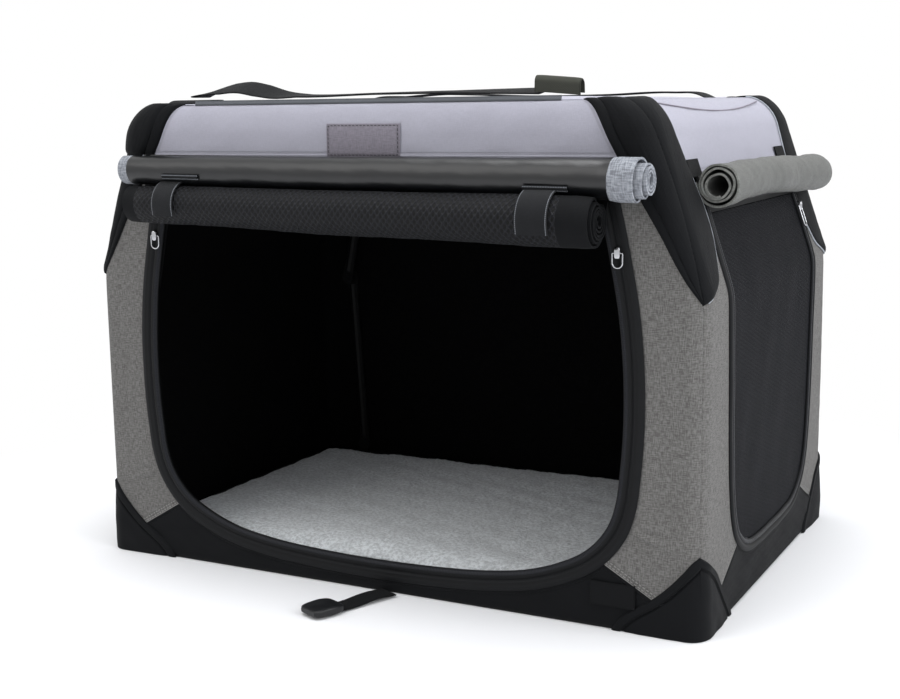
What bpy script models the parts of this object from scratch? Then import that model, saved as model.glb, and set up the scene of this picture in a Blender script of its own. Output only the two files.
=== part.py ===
"""Soft folding dog crate: a fabric cover over a steel frame whose legs fold inwards.

Lengths are in metres, +Z is up, the front faces -Y and the floor is at z = 0.
The cover is one faceted surface, and each fabric piece is a region of it with a thickness.
"""
import math

import bmesh
import bpy
from mathutils import Vector
from mathutils import geometry

# Outer shape of the cover
CRATE_W = 0.700
CRATE_D = 0.470
CRATE_H = 0.500
BEND_Z = 0.320
END_SLOPE_INSET = 0.062
SHOULDER_R = 0.030
SHOULDER_END_INSET = 0.0213
LOW_CORNER_R = 0.018
SHOULDER_CORNER_R = 0.045
ROOF_CORNER_R = 0.090
ROOF_CROWN = 0.006
SHOULDER_STEPS = 4
CORNER_STEPS = 6

# Cloth thicknesses and clearances
GAP = 0.0003
MERGE = 0.000001
SKIN_T = 0.0014
LINING_T = 0.0012
LINING_OFF = 0.0017
BINDING_PROUD = 0.0008
PATCH_PROUD = 0.0024
BOOT_T = 0.0011
ROOF_T = 0.0030
ROOF_SLACK = 0.0022
FLOOR_T = 0.0040
FLOOR_OFF = 0.0017
SKIRT_LIFT = 0.0030
MAT_T = 0.0240
MAT_W = 0.664
MAT_D = 0.400
MAT_R = 0.020

# Front and back opening, by the outer edge of its binding
DOOR_HALF_W = 0.288
DOOR_TOP_Z = 0.4465
DOOR_SHAPE_SHARES = (
    (0.0, 0.049), (0.22, 0.051), (0.47, 0.060), (0.62, 0.074), (0.74, 0.098), (0.84, 0.129), (0.91, 0.168),
    (0.96, 0.218), (0.987, 0.275), (1.0, 0.340), (1.0, 0.650), (0.955, 0.824), (0.891, 1.0))
FRONT_BINDING_W = 0.0200

# End openings, by the outer edge of their binding
SIDE_HALF_W = 0.167
SIDE_TOP_Z = 0.4295
SIDE_SHAPE_SHARES = (
    (0.0, 0.101), (0.30, 0.103), (0.51, 0.110), (0.68, 0.134), (0.80, 0.170), (0.88, 0.222), (0.925, 0.290),
    (0.953, 0.380), (0.98, 0.560), (1.0, 0.700), (1.0, 0.850), (0.985, 0.935), (0.965, 1.0))
SIDE_BINDING_W = 0.0120
FLAP_TOP_Z = 0.3940
FLAP_GAP = 0.0006

# Skirt, corner strips, upper corner patches and boots
SKIRT_TOP_Z = 0.0340
SEAM_RISE_Z = 0.0660
FRONT_SEAM_X = 0.3020
SIDE_SEAM_Y = 0.1830
LIGHT_LOW_Z = 0.4470
SIDE_LIGHT_LOW_Z = 0.4300
PATCH_TIP_Z = 0.3160
PATCH_FRONT_REACH = 0.0346
PATCH_SIDE_REACH = 0.0615
PATCH_FRONT_SHARES = (
    (0.0, 0.0), (0.40, 0.169), (0.746, 0.451), (0.977, 0.651), (1.0, 0.766), (0.867, 0.865), (0.694, 0.955),
    (0.578, 1.0))
PATCH_SIDE_SHARES = (
    (0.478, 0.045), (0.805, 0.104), (1.0, 0.224), (0.984, 0.477), (0.836, 0.656), (0.67, 0.766), (0.35, 0.865),
    (0.150, 0.955), (0.096, 1.0))
BOOT_TIP_Z = 0.0810
BOOT_REACH = 0.0800

# Rolled-up door panels and their straps
ROLL_SHEET_T = 0.0022
ROLL_PITCH = 0.0032
ROLL_CORE_R = 0.0050
UPPER_ROLL_R = 0.0172
UPPER_ROLL_Z = 0.4312
UPPER_ROLL_LEFT = -0.2970
UPPER_ROLL_RIGHT = 0.3040
MESH_ROLL_R = 0.0224
MESH_ROLL_Z = 0.3892
MESH_ROLL_LEFT = -0.2800
MESH_ROLL_RIGHT = 0.2600
SIDE_ROLL_R = 0.0185
SIDE_ROLL_Z = 0.4165
SIDE_ROLL_Y0 = -0.1680
SIDE_ROLL_Y1 = 0.1930
ROLL_SEGMENTS = 20
ROLL_STRAP_W = 0.0290
ROLL_STRAP_T = 0.0014
ROLL_STRAP_LEFT_X = -0.2550
ROLL_STRAP_RIGHT_X = 0.1770
ROLL_STRAP_TOP_SHARE = 0.65
ROLL_STRAP_END_SHARE = 0.20

# Frame tubes
TUBE_R = 0.00635
TUBE_SIDES = 10
BASE_RING_X = 0.3400
BASE_RING_Y = 0.2252
BASE_RING_Z = 0.01065
BASE_RING_R = 0.0350
TOP_RING_X = 0.2680
TOP_RING_Y = 0.2045
TOP_RING_Z = 0.4800
TOP_RING_R = 0.0350
BEND_STEPS = 5

# Folding legs: pivots in the XZ plane and lanes along Y
PIVOT_B_X = 0.2850
PIVOT_B_Z = 0.0278
PIVOT_T_X = 0.2560
PIVOT_T_Z = 0.4652
OVER_CENTRE_RISE = 0.0040
LOWER_LANE_Y = 0.2252
UPPER_LANE_Y = 0.2121
BLADE_T = 0.0050
BLADE_R = 0.0080
BLADE_NECK_R = 0.0068
BLADE_LEN = 0.0200
TUBE_START = 0.0100
LONG_BLADE_LEN = 0.0420
LONG_TUBE_START = 0.0300
LUG_T = 0.0030
LUG_GAP = 0.0005
LUG_ROOT_R = 0.0050
PIN_R = 0.0030
PIN_CLEAR = 0.0003
HEAD_R = 0.0052
HEAD_T = 0.0020
COLLAR_R = 0.0060
SLOT_HALF = 0.0032
TOP_LUG_ROOT_X = 0.2380
ROUND_SIDES = 12

# Label, hook patch, sliders and pulls
LABEL_W = 0.0840
LABEL_H = 0.0330
LABEL_X = -0.0030
LABEL_Z = 0.4635
LABEL_T = 0.0012
HOOK_W = 0.0460
HOOK_H = 0.0240
HOOK_X = 0.2620
HOOK_Z = 0.0350
HOOK_T = 0.0012
SLIDER_L = 0.0110
SLIDER_W = 0.0060
SLIDER_BASE_T = 0.0016
SLIDER_EYE_H = 0.0034
SLIDER_EYE_R = 0.0026
SLIDER_BORE_R = 0.0012
WIRE_R = 0.0008
WIRE_SIDES = 8
RING_PULL_W = 0.0100
RING_PULL_L = 0.0140
TAB_PULL_L = 0.0240
FRONT_SLIDER_X = 0.2655
FRONT_SLIDER_Z = 0.3620
SIDE_SLIDER_Z = 0.3780

# Carry handles
HANDLE_X = 0.2000
HANDLE_W = 0.0400
HANDLE_T = 0.0024
HANDLE_Y = 0.1700
HANDLE_RISE = 0.0200
HANDLE_TAB = 0.0200
HANDLE_RISE_SHARES = ((0.0, 0.0), (0.09, 0.12), (0.20, 0.75), (0.32, 1.0), (0.46, 0.72), (0.62, 0.42), (1.0, 0.34))

# Closure strap and buckles
STRAP_W = 0.0250
STRAP_T = 0.0016
STRAP_X = 0.0180
STRAP_L = 0.0720
STRAP_Z = 0.0012
BUCKLE_W = 0.0330
BUCKLE_L = 0.0360
BUCKLE_T = 0.0100
BUCKLE_WALL = 0.0018
BUCKLE_CHAMFER = 0.0040
PRONG_L = 0.0200
PRONG_W = 0.0050

COLOURS = {
    "light_cloth": ((0.56, 0.54, 0.60), 0.85, 0.0),
    "heather_cloth": ((0.24, 0.23, 0.21), 0.92, 0.0),
    "black_cloth": ((0.018, 0.018, 0.021), 0.80, 0.0),
    "black_lining": ((0.010, 0.010, 0.011), 0.75, 0.0),
    "shade_cloth": ((0.15, 0.15, 0.145), 0.70, 0.0),
    "coated_cloth": ((0.04, 0.04, 0.043), 0.45, 0.0),
    "mesh_cloth": ((0.022, 0.022, 0.026), 0.75, 0.0),
    "fleece": ((0.50, 0.53, 0.57), 0.98, 0.0),
    "webbing": ((0.42, 0.41, 0.44), 0.88, 0.0),
    "black_webbing": ((0.02, 0.02, 0.022), 0.80, 0.0),
    "label_cloth": ((0.36, 0.34, 0.38), 0.80, 0.0),
    "black_steel": ((0.03, 0.03, 0.03), 0.40, 0.9),
    "bright_metal": ((0.60, 0.60, 0.60), 0.30, 1.0),
    "black_plastic": ((0.02, 0.02, 0.02), 0.45, 0.0),
}


def clear_scene():
    """Removes every object that the file opened with."""
    for item in list(bpy.data.objects):
        bpy.data.objects.remove(item, do_unlink=True)


def material(name):
    """Returns the shared material of that name and makes it at the first call."""
    found = bpy.data.materials.get(name)
    if found:
        return found
    colour, roughness, metallic = COLOURS[name]
    made = bpy.data.materials.new(name)
    made.use_nodes = True
    shader = made.node_tree.nodes["Principled BSDF"]
    shader.inputs["Base Color"].default_value = (*colour, 1.0)
    shader.inputs["Roughness"].default_value = roughness
    shader.inputs["Metallic"].default_value = metallic
    made.diffuse_color = (*colour, 1.0)
    return made


def add_object(name, verts, faces, look, origin=(0, 0, 0), smooth=False):
    """Makes one closed solid with its faces out and its origin at the given point."""
    mesh = bpy.data.meshes.new(name)
    ox, oy, oz = origin
    mesh.from_pydata([(x - ox, y - oy, z - oz) for x, y, z in verts], [], faces)
    work = bmesh.new()
    work.from_mesh(mesh)
    bmesh.ops.recalc_face_normals(work, faces=work.faces[:])
    for face in work.faces:
        face.smooth = smooth
    work.to_mesh(mesh)
    work.free()
    mesh.materials.append(material(look))
    item = bpy.data.objects.new(name, mesh)
    item.location = origin
    bpy.context.scene.collection.objects.link(item)
    return item


# Plane regions

def in_loops(x, y, loops):
    """True when a ray from the point crosses the loops an odd number of times."""
    inside = False
    for loop in loops:
        for (ax, ay), (bx, by) in zip(loop, loop[1:] + loop[:1]):
            if (ay > y) != (by > y) and x < ax + (bx - ax) * (y - ay) / (by - ay):
                inside = not inside
    return inside


def chain_edges(start, count, closed):
    """Index pairs along a chain of points."""
    pairs = [(start + k, start + k + 1) for k in range(count - 1)]
    if closed:
        pairs.append((start + count - 1, start))
    return pairs


def fill_region(loops, lines=()):
    """Triangulates the area inside the loops, with edges along the given lines."""
    points, edges = [], []
    for chain, closed in [(loop, True) for loop in loops] + [(line, False) for line in lines]:
        edges += chain_edges(len(points), len(chain), closed)
        points += [Vector(p) for p in chain]
    verts, _, faces, _, _, _ = geometry.delaunay_2d_cdt(points, edges, [], 0, MERGE)
    kept = []
    for face in faces:
        cx = sum(verts[i].x for i in face) / len(face)
        cy = sum(verts[i].y for i in face) / len(face)
        if in_loops(cx, cy, loops):
            kept.append(tuple(face))
    used = sorted({i for face in kept for i in face})
    index = {old: new for new, old in enumerate(used)}
    flat = [(verts[i].x, verts[i].y) for i in used]
    return flat, [tuple(index[i] for i in face) for face in kept]


def close_sheet(flat, faces, outer, inner):
    """Gives a region two mapped sides and a wall along each of its edges."""
    count = len(flat)
    verts = [outer(u, w) for u, w in flat] + [inner(u, w) for u, w in flat]
    walls = list(faces) + [tuple(count + i for i in reversed(face)) for face in faces]
    sides = {(face[k - 1], face[k]) for face in faces for k in range(len(face))}
    for a, b in sorted(sides):
        if (b, a) not in sides:
            walls.append((b, a, count + a, count + b))
    return verts, walls


def inset(loop, distance):
    """Moves every edge of a counter-clockwise loop inwards by one distance."""
    moved = []
    for k, (bx, by) in enumerate(loop):
        ax, ay = loop[k - 1]
        cx, cy = loop[(k + 1) % len(loop)]
        first, second = math.hypot(bx - ax, by - ay), math.hypot(cx - bx, cy - by)
        n1 = ((ay - by) / first, (bx - ax) / first)
        n2 = ((by - cy) / second, (cx - bx) / second)
        scale = distance / (1 + n1[0] * n2[0] + n1[1] * n2[1])
        moved.append((bx + scale * (n1[0] + n2[0]), by + scale * (n1[1] + n2[1])))
    return moved


def circle(cx, cy, radius, sides=ROUND_SIDES):
    """Points of a circle, counter-clockwise."""
    turns = [2 * math.pi * k / sides for k in range(sides)]
    return [(cx + radius * math.cos(t), cy + radius * math.sin(t)) for t in turns]


def rounded_box(half_x, half_y, radius, steps):
    """Counter-clockwise rounded rectangle round the origin."""
    points = []
    for quarter, (sx, sy) in enumerate(((1, 1), (-1, 1), (-1, -1), (1, -1))):
        for k in range(steps + 1):
            turn = math.pi / 2 * (quarter + k / steps)
            x = sx * (half_x - radius) + radius * math.cos(turn)
            y = sy * (half_y - radius) + radius * math.sin(turn)
            points.append((x, y))
    return points


def hull(points):
    """Convex outline of a set of plane points."""
    order = geometry.convex_hull_2d([Vector(p) for p in points])
    return [points[i] for i in order]


def prism_mesh(loops, axis, low, high):
    """Extrudes plane loops along X, Y or Z; the loops hold the other two coordinates in order."""
    def place(level):
        return lambda u, w: {"X": (level, u, w), "Y": (u, level, w), "Z": (u, w, level)}[axis]
    flat, faces = fill_region(loops)
    return close_sheet(flat, faces, place(low), place(high))


def prism(name, loops, axis, low, high, look, origin=(0, 0, 0)):
    """Object made by extruding plane loops."""
    verts, walls = prism_mesh(loops, axis, low, high)
    return add_object(name, verts, walls, look, origin)


def tube_mesh(path, radius, up, closed, sides=TUBE_SIDES):
    """Sweeps a circle along a plane path whose normal is up."""
    points, up = [Vector(p) for p in path], Vector(up)
    verts, count = [], len(points)
    for k, point in enumerate(points):
        ahead = points[(k + 1) % count] if closed or k < count - 1 else point
        behind = points[k - 1] if closed or k > 0 else point
        across = (ahead - behind).normalized().cross(up)
        for n in range(sides):
            turn = 2 * math.pi * n / sides
            verts.append(tuple(point + radius * (math.cos(turn) * up + math.sin(turn) * across)))
    faces = []
    for k in range(count if closed else count - 1):
        for n in range(sides):
            a, b = k * sides, (k + 1) % count * sides
            faces.append((a + n, a + (n + 1) % sides, b + (n + 1) % sides, b + n))
    if not closed:
        faces.append(tuple(range(sides)))
        faces.append(tuple((count - 1) * sides + n for n in reversed(range(sides))))
    return verts, faces


def boolean(target, tool, mode):
    """Adds a tool to a target or cuts it out, and removes the tool."""
    tool.hide_render = True
    tool.display_type = "WIRE"
    step = target.modifiers.new(mode, "BOOLEAN")
    step.operation = mode
    step.solver = "EXACT"
    step.object = tool
    graph = bpy.context.evaluated_depsgraph_get()
    made = bpy.data.meshes.new_from_object(target.evaluated_get(graph))
    target.modifiers.clear()
    target.data = made
    bpy.data.objects.remove(tool, do_unlink=True)


def unite(target, tools):
    """Joins solids that overlap into one closed body."""
    for tool in tools:
        boolean(target, tool, "UNION")
    return target


# The cover surface

def cover_rows():
    """Rows of height along the cover, z, end inset, front inset, corner radius and the inward direction."""
    rows = [(0, 0, 0, 0, LOW_CORNER_R, 1, 0), (BEND_Z, BEND_Z, 0, 0, LOW_CORNER_R, 1, 0)]
    slope = END_SLOPE_INSET / (CRATE_H - BEND_Z)
    base = CRATE_H - SHOULDER_R
    for k in range(SHOULDER_STEPS + 1):
        turn = math.pi / 2 * k / SHOULDER_STEPS
        z = base + SHOULDER_R * math.sin(turn)
        over = 1 - math.cos(turn)
        ends = slope * (z - BEND_Z) + SHOULDER_END_INSET * over
        radius = SHOULDER_CORNER_R + (ROOF_CORNER_R - SHOULDER_CORNER_R) * k / SHOULDER_STEPS
        rows.append((base + SHOULDER_R * turn, z, ends, SHOULDER_R * over, radius, math.cos(turn), math.sin(turn)))
    return rows


ROWS = cover_rows()
COVER_TOP = ROWS[-1][0]


def row_at(v):
    """Row of the cover at one height, by straight lines between the rows."""
    for low, high in zip(ROWS, ROWS[1:]):
        if v <= high[0]:
            break
    share = (v - low[0]) / (high[0] - low[0])
    return [a + (b - a) * share for a, b in zip(low, high)]


def corner_step(radius):
    """Length of one facet of a rounded corner."""
    return 2 * radius * math.sin(math.pi / 4 / CORNER_STEPS)


def face_reach(face, v):
    """Half width of a face, half width of its neighbour and the corner radius at one height."""
    row = row_at(v)
    ends, fronts = CRATE_W / 2 - row[2], CRATE_D / 2 - row[3]
    return (ends, fronts, row[4]) if face % 2 == 0 else (fronts, ends, row[4])


def corner_mid(face, v):
    """Distance along a face from its middle to the middle of its corner."""
    reach, _, radius = face_reach(face, v)
    return reach - radius + CORNER_STEPS / 2 * corner_step(radius)


def walk(along, reach, away, radius, depth):
    """Follows a face and its faceted corner; gives the distances sideways and outwards."""
    flat = reach - radius
    if along <= flat:
        return along, away - depth
    k = (along - flat) / corner_step(radius)
    if k >= CORNER_STEPS:
        return reach - depth, away - radius - (k - CORNER_STEPS) * corner_step(radius)
    low, turn, ring = math.floor(k), math.pi / 2 / CORNER_STEPS, radius - depth
    share = k - low
    across = (1 - share) * math.sin(low * turn) + share * math.sin((low + 1) * turn)
    out = (1 - share) * math.cos(low * turn) + share * math.cos((low + 1) * turn)
    return flat + ring * across, away - radius + ring * out


def cover_point(face, along, v, depth):
    """Point of the cover: faces 0 to 3 are the front, the right, the back and the left."""
    row = row_at(v)
    reach, away, radius = face_reach(face, v)
    side, out = walk(abs(along), reach, away, radius, depth * row[5])
    side = math.copysign(side, along)
    x, y = ((side, -out), (out, side), (-side, out), (-out, -side))[face]
    return (x, y, row[1] - depth * row[6])


def row_lines():
    """Lines across the cover at its rows."""
    return [[(-CRATE_W, row[0]), (CRATE_W, row[0])] for row in ROWS[1:-1]]


def face_lines(face):
    """Lines of a face along its rows and its corner facets."""
    lines = row_lines()
    for k in range(CORNER_STEPS // 2 + 1):
        for sign in (-1, 1):
            line = []
            for row in ROWS:
                reach, _, radius = face_reach(face, row[0])
                line.append((sign * (reach - radius + k * corner_step(radius)), row[0]))
            lines.append(line)
    return lines


def corner_lines():
    """Lines of a corner region along its rows and its facets."""
    lines = row_lines()
    for k in range(CORNER_STEPS + 1):
        lines.append([((k - CORNER_STEPS / 2) * corner_step(row[4]), row[0]) for row in ROWS])
    return lines


def face_piece(name, face, loops, out, inn, look, origin=(0, 0, 0)):
    """Solid piece of cloth on one face, between two depths under the cover."""
    flat, faces = fill_region(loops, face_lines(face))
    verts, walls = close_sheet(
        flat, faces, lambda u, w: cover_point(face, u, w, out), lambda u, w: cover_point(face, u, w, inn))
    return add_object(name, verts, walls, look, origin)


def corner_piece(name, corner, loop, out, inn, look):
    """Solid piece of cloth round one corner; the loop is measured from the middle of the corner."""
    def place(depth):
        return lambda q, v: cover_point(corner, corner_mid(corner, v) + q, v, depth)
    flat, faces = fill_region([loop], corner_lines())
    verts, walls = close_sheet(flat, faces, place(out), place(inn))
    return add_object(name, verts, walls, look)


def mirrored(half):
    """Closes a right-hand half outline, given from its foot to its top, with its mirror image."""
    left = [(-u, w) for u, w in reversed(half) if u > MERGE]
    return list(half) + left


def scaled(shares, width, height):
    """Turns a table of shares into lengths."""
    return [(u * width, w * height) for u, w in shares]


def split_rows(line):
    """Adds a point to a line wherever it crosses a row of the cover."""
    out = [line[0]]
    for (ax, ay), (bx, by) in zip(line, line[1:]):
        levels = [row[0] for row in ROWS if min(ay, by) + MERGE < row[0] < max(ay, by) - MERGE]
        for level in sorted(levels, reverse=by < ay):
            out.append((ax + (bx - ax) * (level - ay) / (by - ay), level))
        out.append((bx, by))
    return out


def patch_edges():
    """Front and side edges of an upper corner patch, upwards, measured from the corner."""
    tall = COVER_TOP - PATCH_TIP_Z
    front = [(-u * PATCH_FRONT_REACH, PATCH_TIP_Z + w * tall) for u, w in PATCH_FRONT_SHARES]
    side = [(u * PATCH_SIDE_REACH, PATCH_TIP_Z + w * tall) for u, w in PATCH_SIDE_SHARES]
    return split_rows(front), split_rows([front[0]] + side)


def door_half():
    """Right-hand half of the outer edge of the front binding, from its foot to its top."""
    return scaled(DOOR_SHAPE_SHARES, DOOR_HALF_W, DOOR_TOP_Z)


def side_half():
    """Half of the outer edge of an end binding, from its foot to its top."""
    return scaled(SIDE_SHAPE_SHARES, SIDE_HALF_W, SIDE_TOP_Z)


# Cover pieces

def binding_loops(half, width):
    """Outer and inner loop of the binding round an opening."""
    outer = mirrored(half)
    return [inset(outer, GAP / 2), inset(outer, width)]


def side_opening():
    """Inner edge of an end binding, cut straight along the top of its flap."""
    loop = inset(mirrored(side_half()), SIDE_BINDING_W)
    low = [p for p in loop if p[1] < FLAP_TOP_Z]
    cut = SIDE_HALF_W - SIDE_BINDING_W
    top = [p for p in low if p[0] > 0]
    bottom = [p for p in low if p[0] <= 0]
    return top + [(cut, FLAP_TOP_Z), (-cut, FLAP_TOP_Z)] + sorted(bottom, key=lambda p: -p[1])


def lining(name, face, hole):
    """Black inner wall of one face, from the floor to the shoulder."""
    low, high = FLOOR_T + GAP, CRATE_H - SHOULDER_R
    levels = [low, BEND_Z, high]
    right = [(corner_mid(face, v) - GAP, v) for v in levels]
    left = [(-a, v) for a, v in reversed(right)]
    loops = [right + left] + hole
    return face_piece(name, face, loops, LINING_OFF, LINING_OFF + LINING_T, "black_lining")


def linings():
    """The four inner walls; the front and the right have an open doorway."""
    lining("front_lining", 0, [binding_loops(door_half(), FRONT_BINDING_W)[1]])
    lining("right_lining", 1, [side_opening()])
    lining("back_lining", 2, [])
    lining("left_lining", 3, [])


def light_panel(name, face):
    """Light upper panel of one face, over the shoulder to the seam of the roof."""
    front, side = patch_edges()
    low = LIGHT_LOW_Z if face % 2 == 0 else SIDE_LIGHT_LOW_Z
    if face % 2 == 0:
        edge = [(corner_mid(face, v) + q, v) for q, v in front]
    else:
        edge = [(corner_mid(face, v) - q, v) for q, v in side[1:]]
    edge = clip_low(edge, low)
    return face_piece(name, face, [inset(mirrored(edge), GAP / 2)], 0, SKIN_T, "light_cloth")


def clip_low(edge, low):
    """Cuts an upward line at its lowest wanted level."""
    for (ax, ay), (bx, by) in zip(edge, edge[1:]):
        if ay <= low < by:
            start = (ax + (bx - ax) * (low - ay) / (by - ay), low)
            return [start] + [p for p in edge if p[1] > low + MERGE]
    return edge


def seam_foot(half, seam, to_corner):
    """Edge between strip and skirt: down the seam from the binding, then level to the corner."""
    touch = max((p for p in half if p[1] <= SEAM_RISE_Z), key=lambda p: p[1])
    return [(touch[0] - to_corner, touch[1]), (seam - to_corner, SKIRT_TOP_Z)]


def strip_loop():
    """Outline of a corner strip, measured from the corner, for a corner with its door face first."""
    front, side = patch_edges()
    door = [(a - corner_mid(0, v), v) for a, v in split_rows(door_half()) if v > SEAM_RISE_Z - MERGE]
    end = [(corner_mid(1, v) - a, v) for a, v in split_rows(side_half()) if v > SEAM_RISE_Z - MERGE]
    meet = side_height()
    end = [p for p in end if p[1] < meet]
    foot = seam_foot(door_half(), FRONT_SEAM_X, corner_mid(0, 0))
    heel = [(-q, v) for q, v in reversed(seam_foot(side_half(), SIDE_SEAM_Y, corner_mid(1, 0)))]
    upper_side = [p for p in side if p[1] < meet + MERGE]
    upper_front = [p for p in front if p[1] < DOOR_TOP_Z - MERGE]
    loop = foot + heel + end + list(reversed(upper_side)) + upper_front[1:]
    return loop + [top_corner(front)] + list(reversed(door))


def side_height():
    """Height at which the edge of a patch reaches the end binding."""
    return PATCH_TIP_Z + PATCH_SIDE_SHARES[2][1] * (COVER_TOP - PATCH_TIP_Z)


def top_corner(front):
    """Point of the patch edge level with the top of the front binding."""
    return clip_low(front, DOOR_TOP_Z)[0]


def corner_names():
    """Corner numbers, names and the sign of their outline."""
    return ((0, "front_right", 1), (1, "back_right", -1), (2, "back_left", 1), (3, "front_left", -1))


def flipped(loop, sign):
    """Mirrors an outline and keeps it counter-clockwise."""
    return loop if sign > 0 else [(-q, v) for q, v in reversed(loop)]


def corner_pieces():
    """Strip, padded patch and boot of each corner."""
    front, side = patch_edges()
    patch = list(reversed(front)) + side[1:]
    boot = [(-BOOT_REACH, 0), (BOOT_REACH, 0), (0, BOOT_TIP_Z)]
    for corner, name, sign in corner_names():
        strip = flipped(inset(strip_loop(), GAP / 2), sign)
        corner_piece("corner_strip_" + name, corner, strip, 0, SKIN_T, "heather_cloth")
        padded = flipped(inset(patch, GAP), sign)
        corner_piece("corner_patch_" + name, corner, padded, -PATCH_PROUD, SKIN_T, "black_cloth")
        corner_piece("boot_" + name, corner, flipped(boot, sign), -GAP - BOOT_T, -GAP, "black_cloth")


def skirt_top(half, seam, mid):
    """Top edge of the skirt on one face, from its left corner to its right corner."""
    foot = [p for p in half if p[1] <= SEAM_RISE_Z]
    right = foot + [(seam, SKIRT_TOP_Z), (mid, SKIRT_TOP_Z)]
    left = [(-u, w) for u, w in reversed(right) if u > MERGE]
    return left + right


def skirt():
    """Black band round the foot of the crate, as one ring of cloth."""
    mids = [corner_mid(face, 0) for face in range(4)]
    centre, top, lines = 0, [], []
    centres = []
    for face in range(4):
        centres.append(centre)
        half, seam = (door_half(), FRONT_SEAM_X) if face % 2 == 0 else (side_half(), SIDE_SEAM_Y)
        top += [(centre + u, w) for u, w in skirt_top(half, seam, mids[face])][1 if face else 0:]
        step = corner_step(LOW_CORNER_R)
        for k in range(CORNER_STEPS // 2):
            for sign in (-1, 1):
                u = centre + sign * (mids[face] - (k + 1) * step)
                lines.append([(u, -CRATE_H), (u, CRATE_H)])
        if face < 3:
            lines.append([(centre + mids[face], -CRATE_H), (centre + mids[face], CRATE_H)])
        centre += mids[face] + mids[(face + 1) % 4]
    start, end = top[0][0], top[-1][0]
    loop = inset([(start, SKIRT_LIFT), (end, SKIRT_LIFT)] + list(reversed(top)), GAP / 2)
    loop = [(start if u < start + GAP else end if u > end - GAP else u, w) for u, w in loop]
    flat, faces = fill_region([loop], lines)
    flat, faces = close_ring(flat, faces, start, end)

    def place(depth):
        def put(u, w):
            face = min(range(4), key=lambda f: abs(u - centres[f]) - mids[f])
            return cover_point(face, u - centres[face], w, depth)
        return put
    verts, walls = close_sheet(flat, faces, place(0), place(SKIN_T))
    return add_object("skirt", verts, walls, "black_cloth")


def close_ring(flat, faces, start, end):
    """Joins the two ends of an unrolled ring."""
    index = {}
    for k, (u, w) in enumerate(flat):
        twin = next((j for j, (a, b) in enumerate(flat) if a < start + MERGE and abs(b - w) < GAP), k)
        index[k] = twin if u > end - MERGE else k
    faces = [tuple(index[k] for k in face) for face in faces]
    used = sorted({k for face in faces for k in face})
    order = {old: new for new, old in enumerate(used)}
    return [flat[k] for k in used], [tuple(order[k] for k in face) for face in faces]


def openings_and_panels():
    """Bindings of the two open doorways and the closed shades of the other two faces."""
    front = binding_loops(door_half(), FRONT_BINDING_W)
    face_piece("front_zip_binding", 0, front, -BINDING_PROUD, SKIN_T, "black_cloth")
    side = [inset(mirrored(side_half()), GAP / 2), side_opening()]
    face_piece("side_zip_binding", 1, side, -BINDING_PROUD, SKIN_T, "black_cloth")
    face_piece("back_shade_panel", 2, [front[0]], -BINDING_PROUD, SKIN_T, "shade_cloth")
    face_piece("left_shade_panel", 3, [side[0]], -BINDING_PROUD, SKIN_T, "shade_cloth")
    hinge = cover_point(1, 0, FLAP_TOP_Z - FLAP_GAP, 0)
    flap = [inset(side_opening(), FLAP_GAP)]
    face_piece("side_mesh_door", 1, flap, 0, SKIN_T, "mesh_cloth", hinge)


def roof_loop():
    """Seam of the roof, counter-clockwise from above."""
    points = []
    for face in range(4):
        reach, _, radius = face_reach(face, COVER_TOP)
        step = corner_step(radius)
        turns = range(CORNER_STEPS // 2 + 1)
        along = [-(reach - radius + k * step) for k in reversed(turns)]
        along += [reach - radius + k * step for k in list(turns)[:-1]]
        points += [cover_point(face, a, COVER_TOP, 0)[:2] for a in along]
    return points


def roof_z(x, y):
    """Height of the roof, which swells a little in its middle."""
    ends = CRATE_W / 2 - ROWS[-1][2]
    fronts = CRATE_D / 2 - ROWS[-1][3]
    return CRATE_H + ROOF_CROWN * max(0, 1 - (x / ends) ** 2) * max(0, 1 - (y / fronts) ** 2)


def roof_panel():
    """Roof of the cover, with a hem along its front and back that rests on the top ring."""
    ends = CRATE_W / 2 - ROWS[-1][2]
    loop = [(x * (ends - ROOF_SLACK) / ends, y) for x, y in inset(roof_loop(), GAP)]
    hem, lean = TOP_RING_Y - TUBE_R / 2, TUBE_R
    lines = [[(x * ends, -CRATE_D), (x * ends, CRATE_D)] for x in (-0.75, -0.5, -0.25, 0, 0.25, 0.5, 0.75)]
    for y in (hem, hem - lean, (hem - lean) / 2, 0):
        for sign in (-1, 1) if y else (1,):
            lines.append([(-CRATE_W, sign * y), (CRATE_W, sign * y)])
    low = TOP_RING_Z + TUBE_R + GAP

    def under(x, y):
        return min(low, roof_z(x, y) - ROOF_T) if abs(y) > hem - MERGE else roof_z(x, y) - ROOF_T
    flat, faces = fill_region([loop], lines)
    verts, walls = close_sheet(flat, faces, lambda x, y: (x, y, roof_z(x, y)), lambda x, y: (x, y, under(x, y)))
    return add_object("roof_panel", verts, walls, "light_cloth", pivot("T", -1))


def floor_and_mat():
    """Floor board and the fleece mat that lies on it."""
    board = rounded_box(CRATE_W / 2 - FLOOR_OFF, CRATE_D / 2 - FLOOR_OFF, LOW_CORNER_R, CORNER_STEPS)
    prism("floor_panel", [board], "Z", 0, FLOOR_T, "black_cloth")
    mat = rounded_box(MAT_W / 2, MAT_D / 2, MAT_R, CORNER_STEPS)
    low = FLOOR_T + GAP
    add_object("fleece_mat", *mat_mesh(mat, low), "fleece")


def mat_mesh(loop, low):
    """Padded slab with a rounded rim: three stacked loops and two flat sides."""
    edge = inset(loop, MAT_T / 6)
    levels = ((edge, low), (loop, low + MAT_T / 6), (loop, low + MAT_T * 5 / 6), (edge, low + MAT_T))
    count = len(loop)
    verts = [(x, y, z) for points, z in levels for x, y in points]
    faces = [tuple(range(count)), tuple(3 * count + k for k in reversed(range(count)))]
    for level in range(3):
        for k in range(count):
            a, b = level * count + k, level * count + (k + 1) % count
            faces.append((a, b, b + count, a + count))
    return verts, faces


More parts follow.
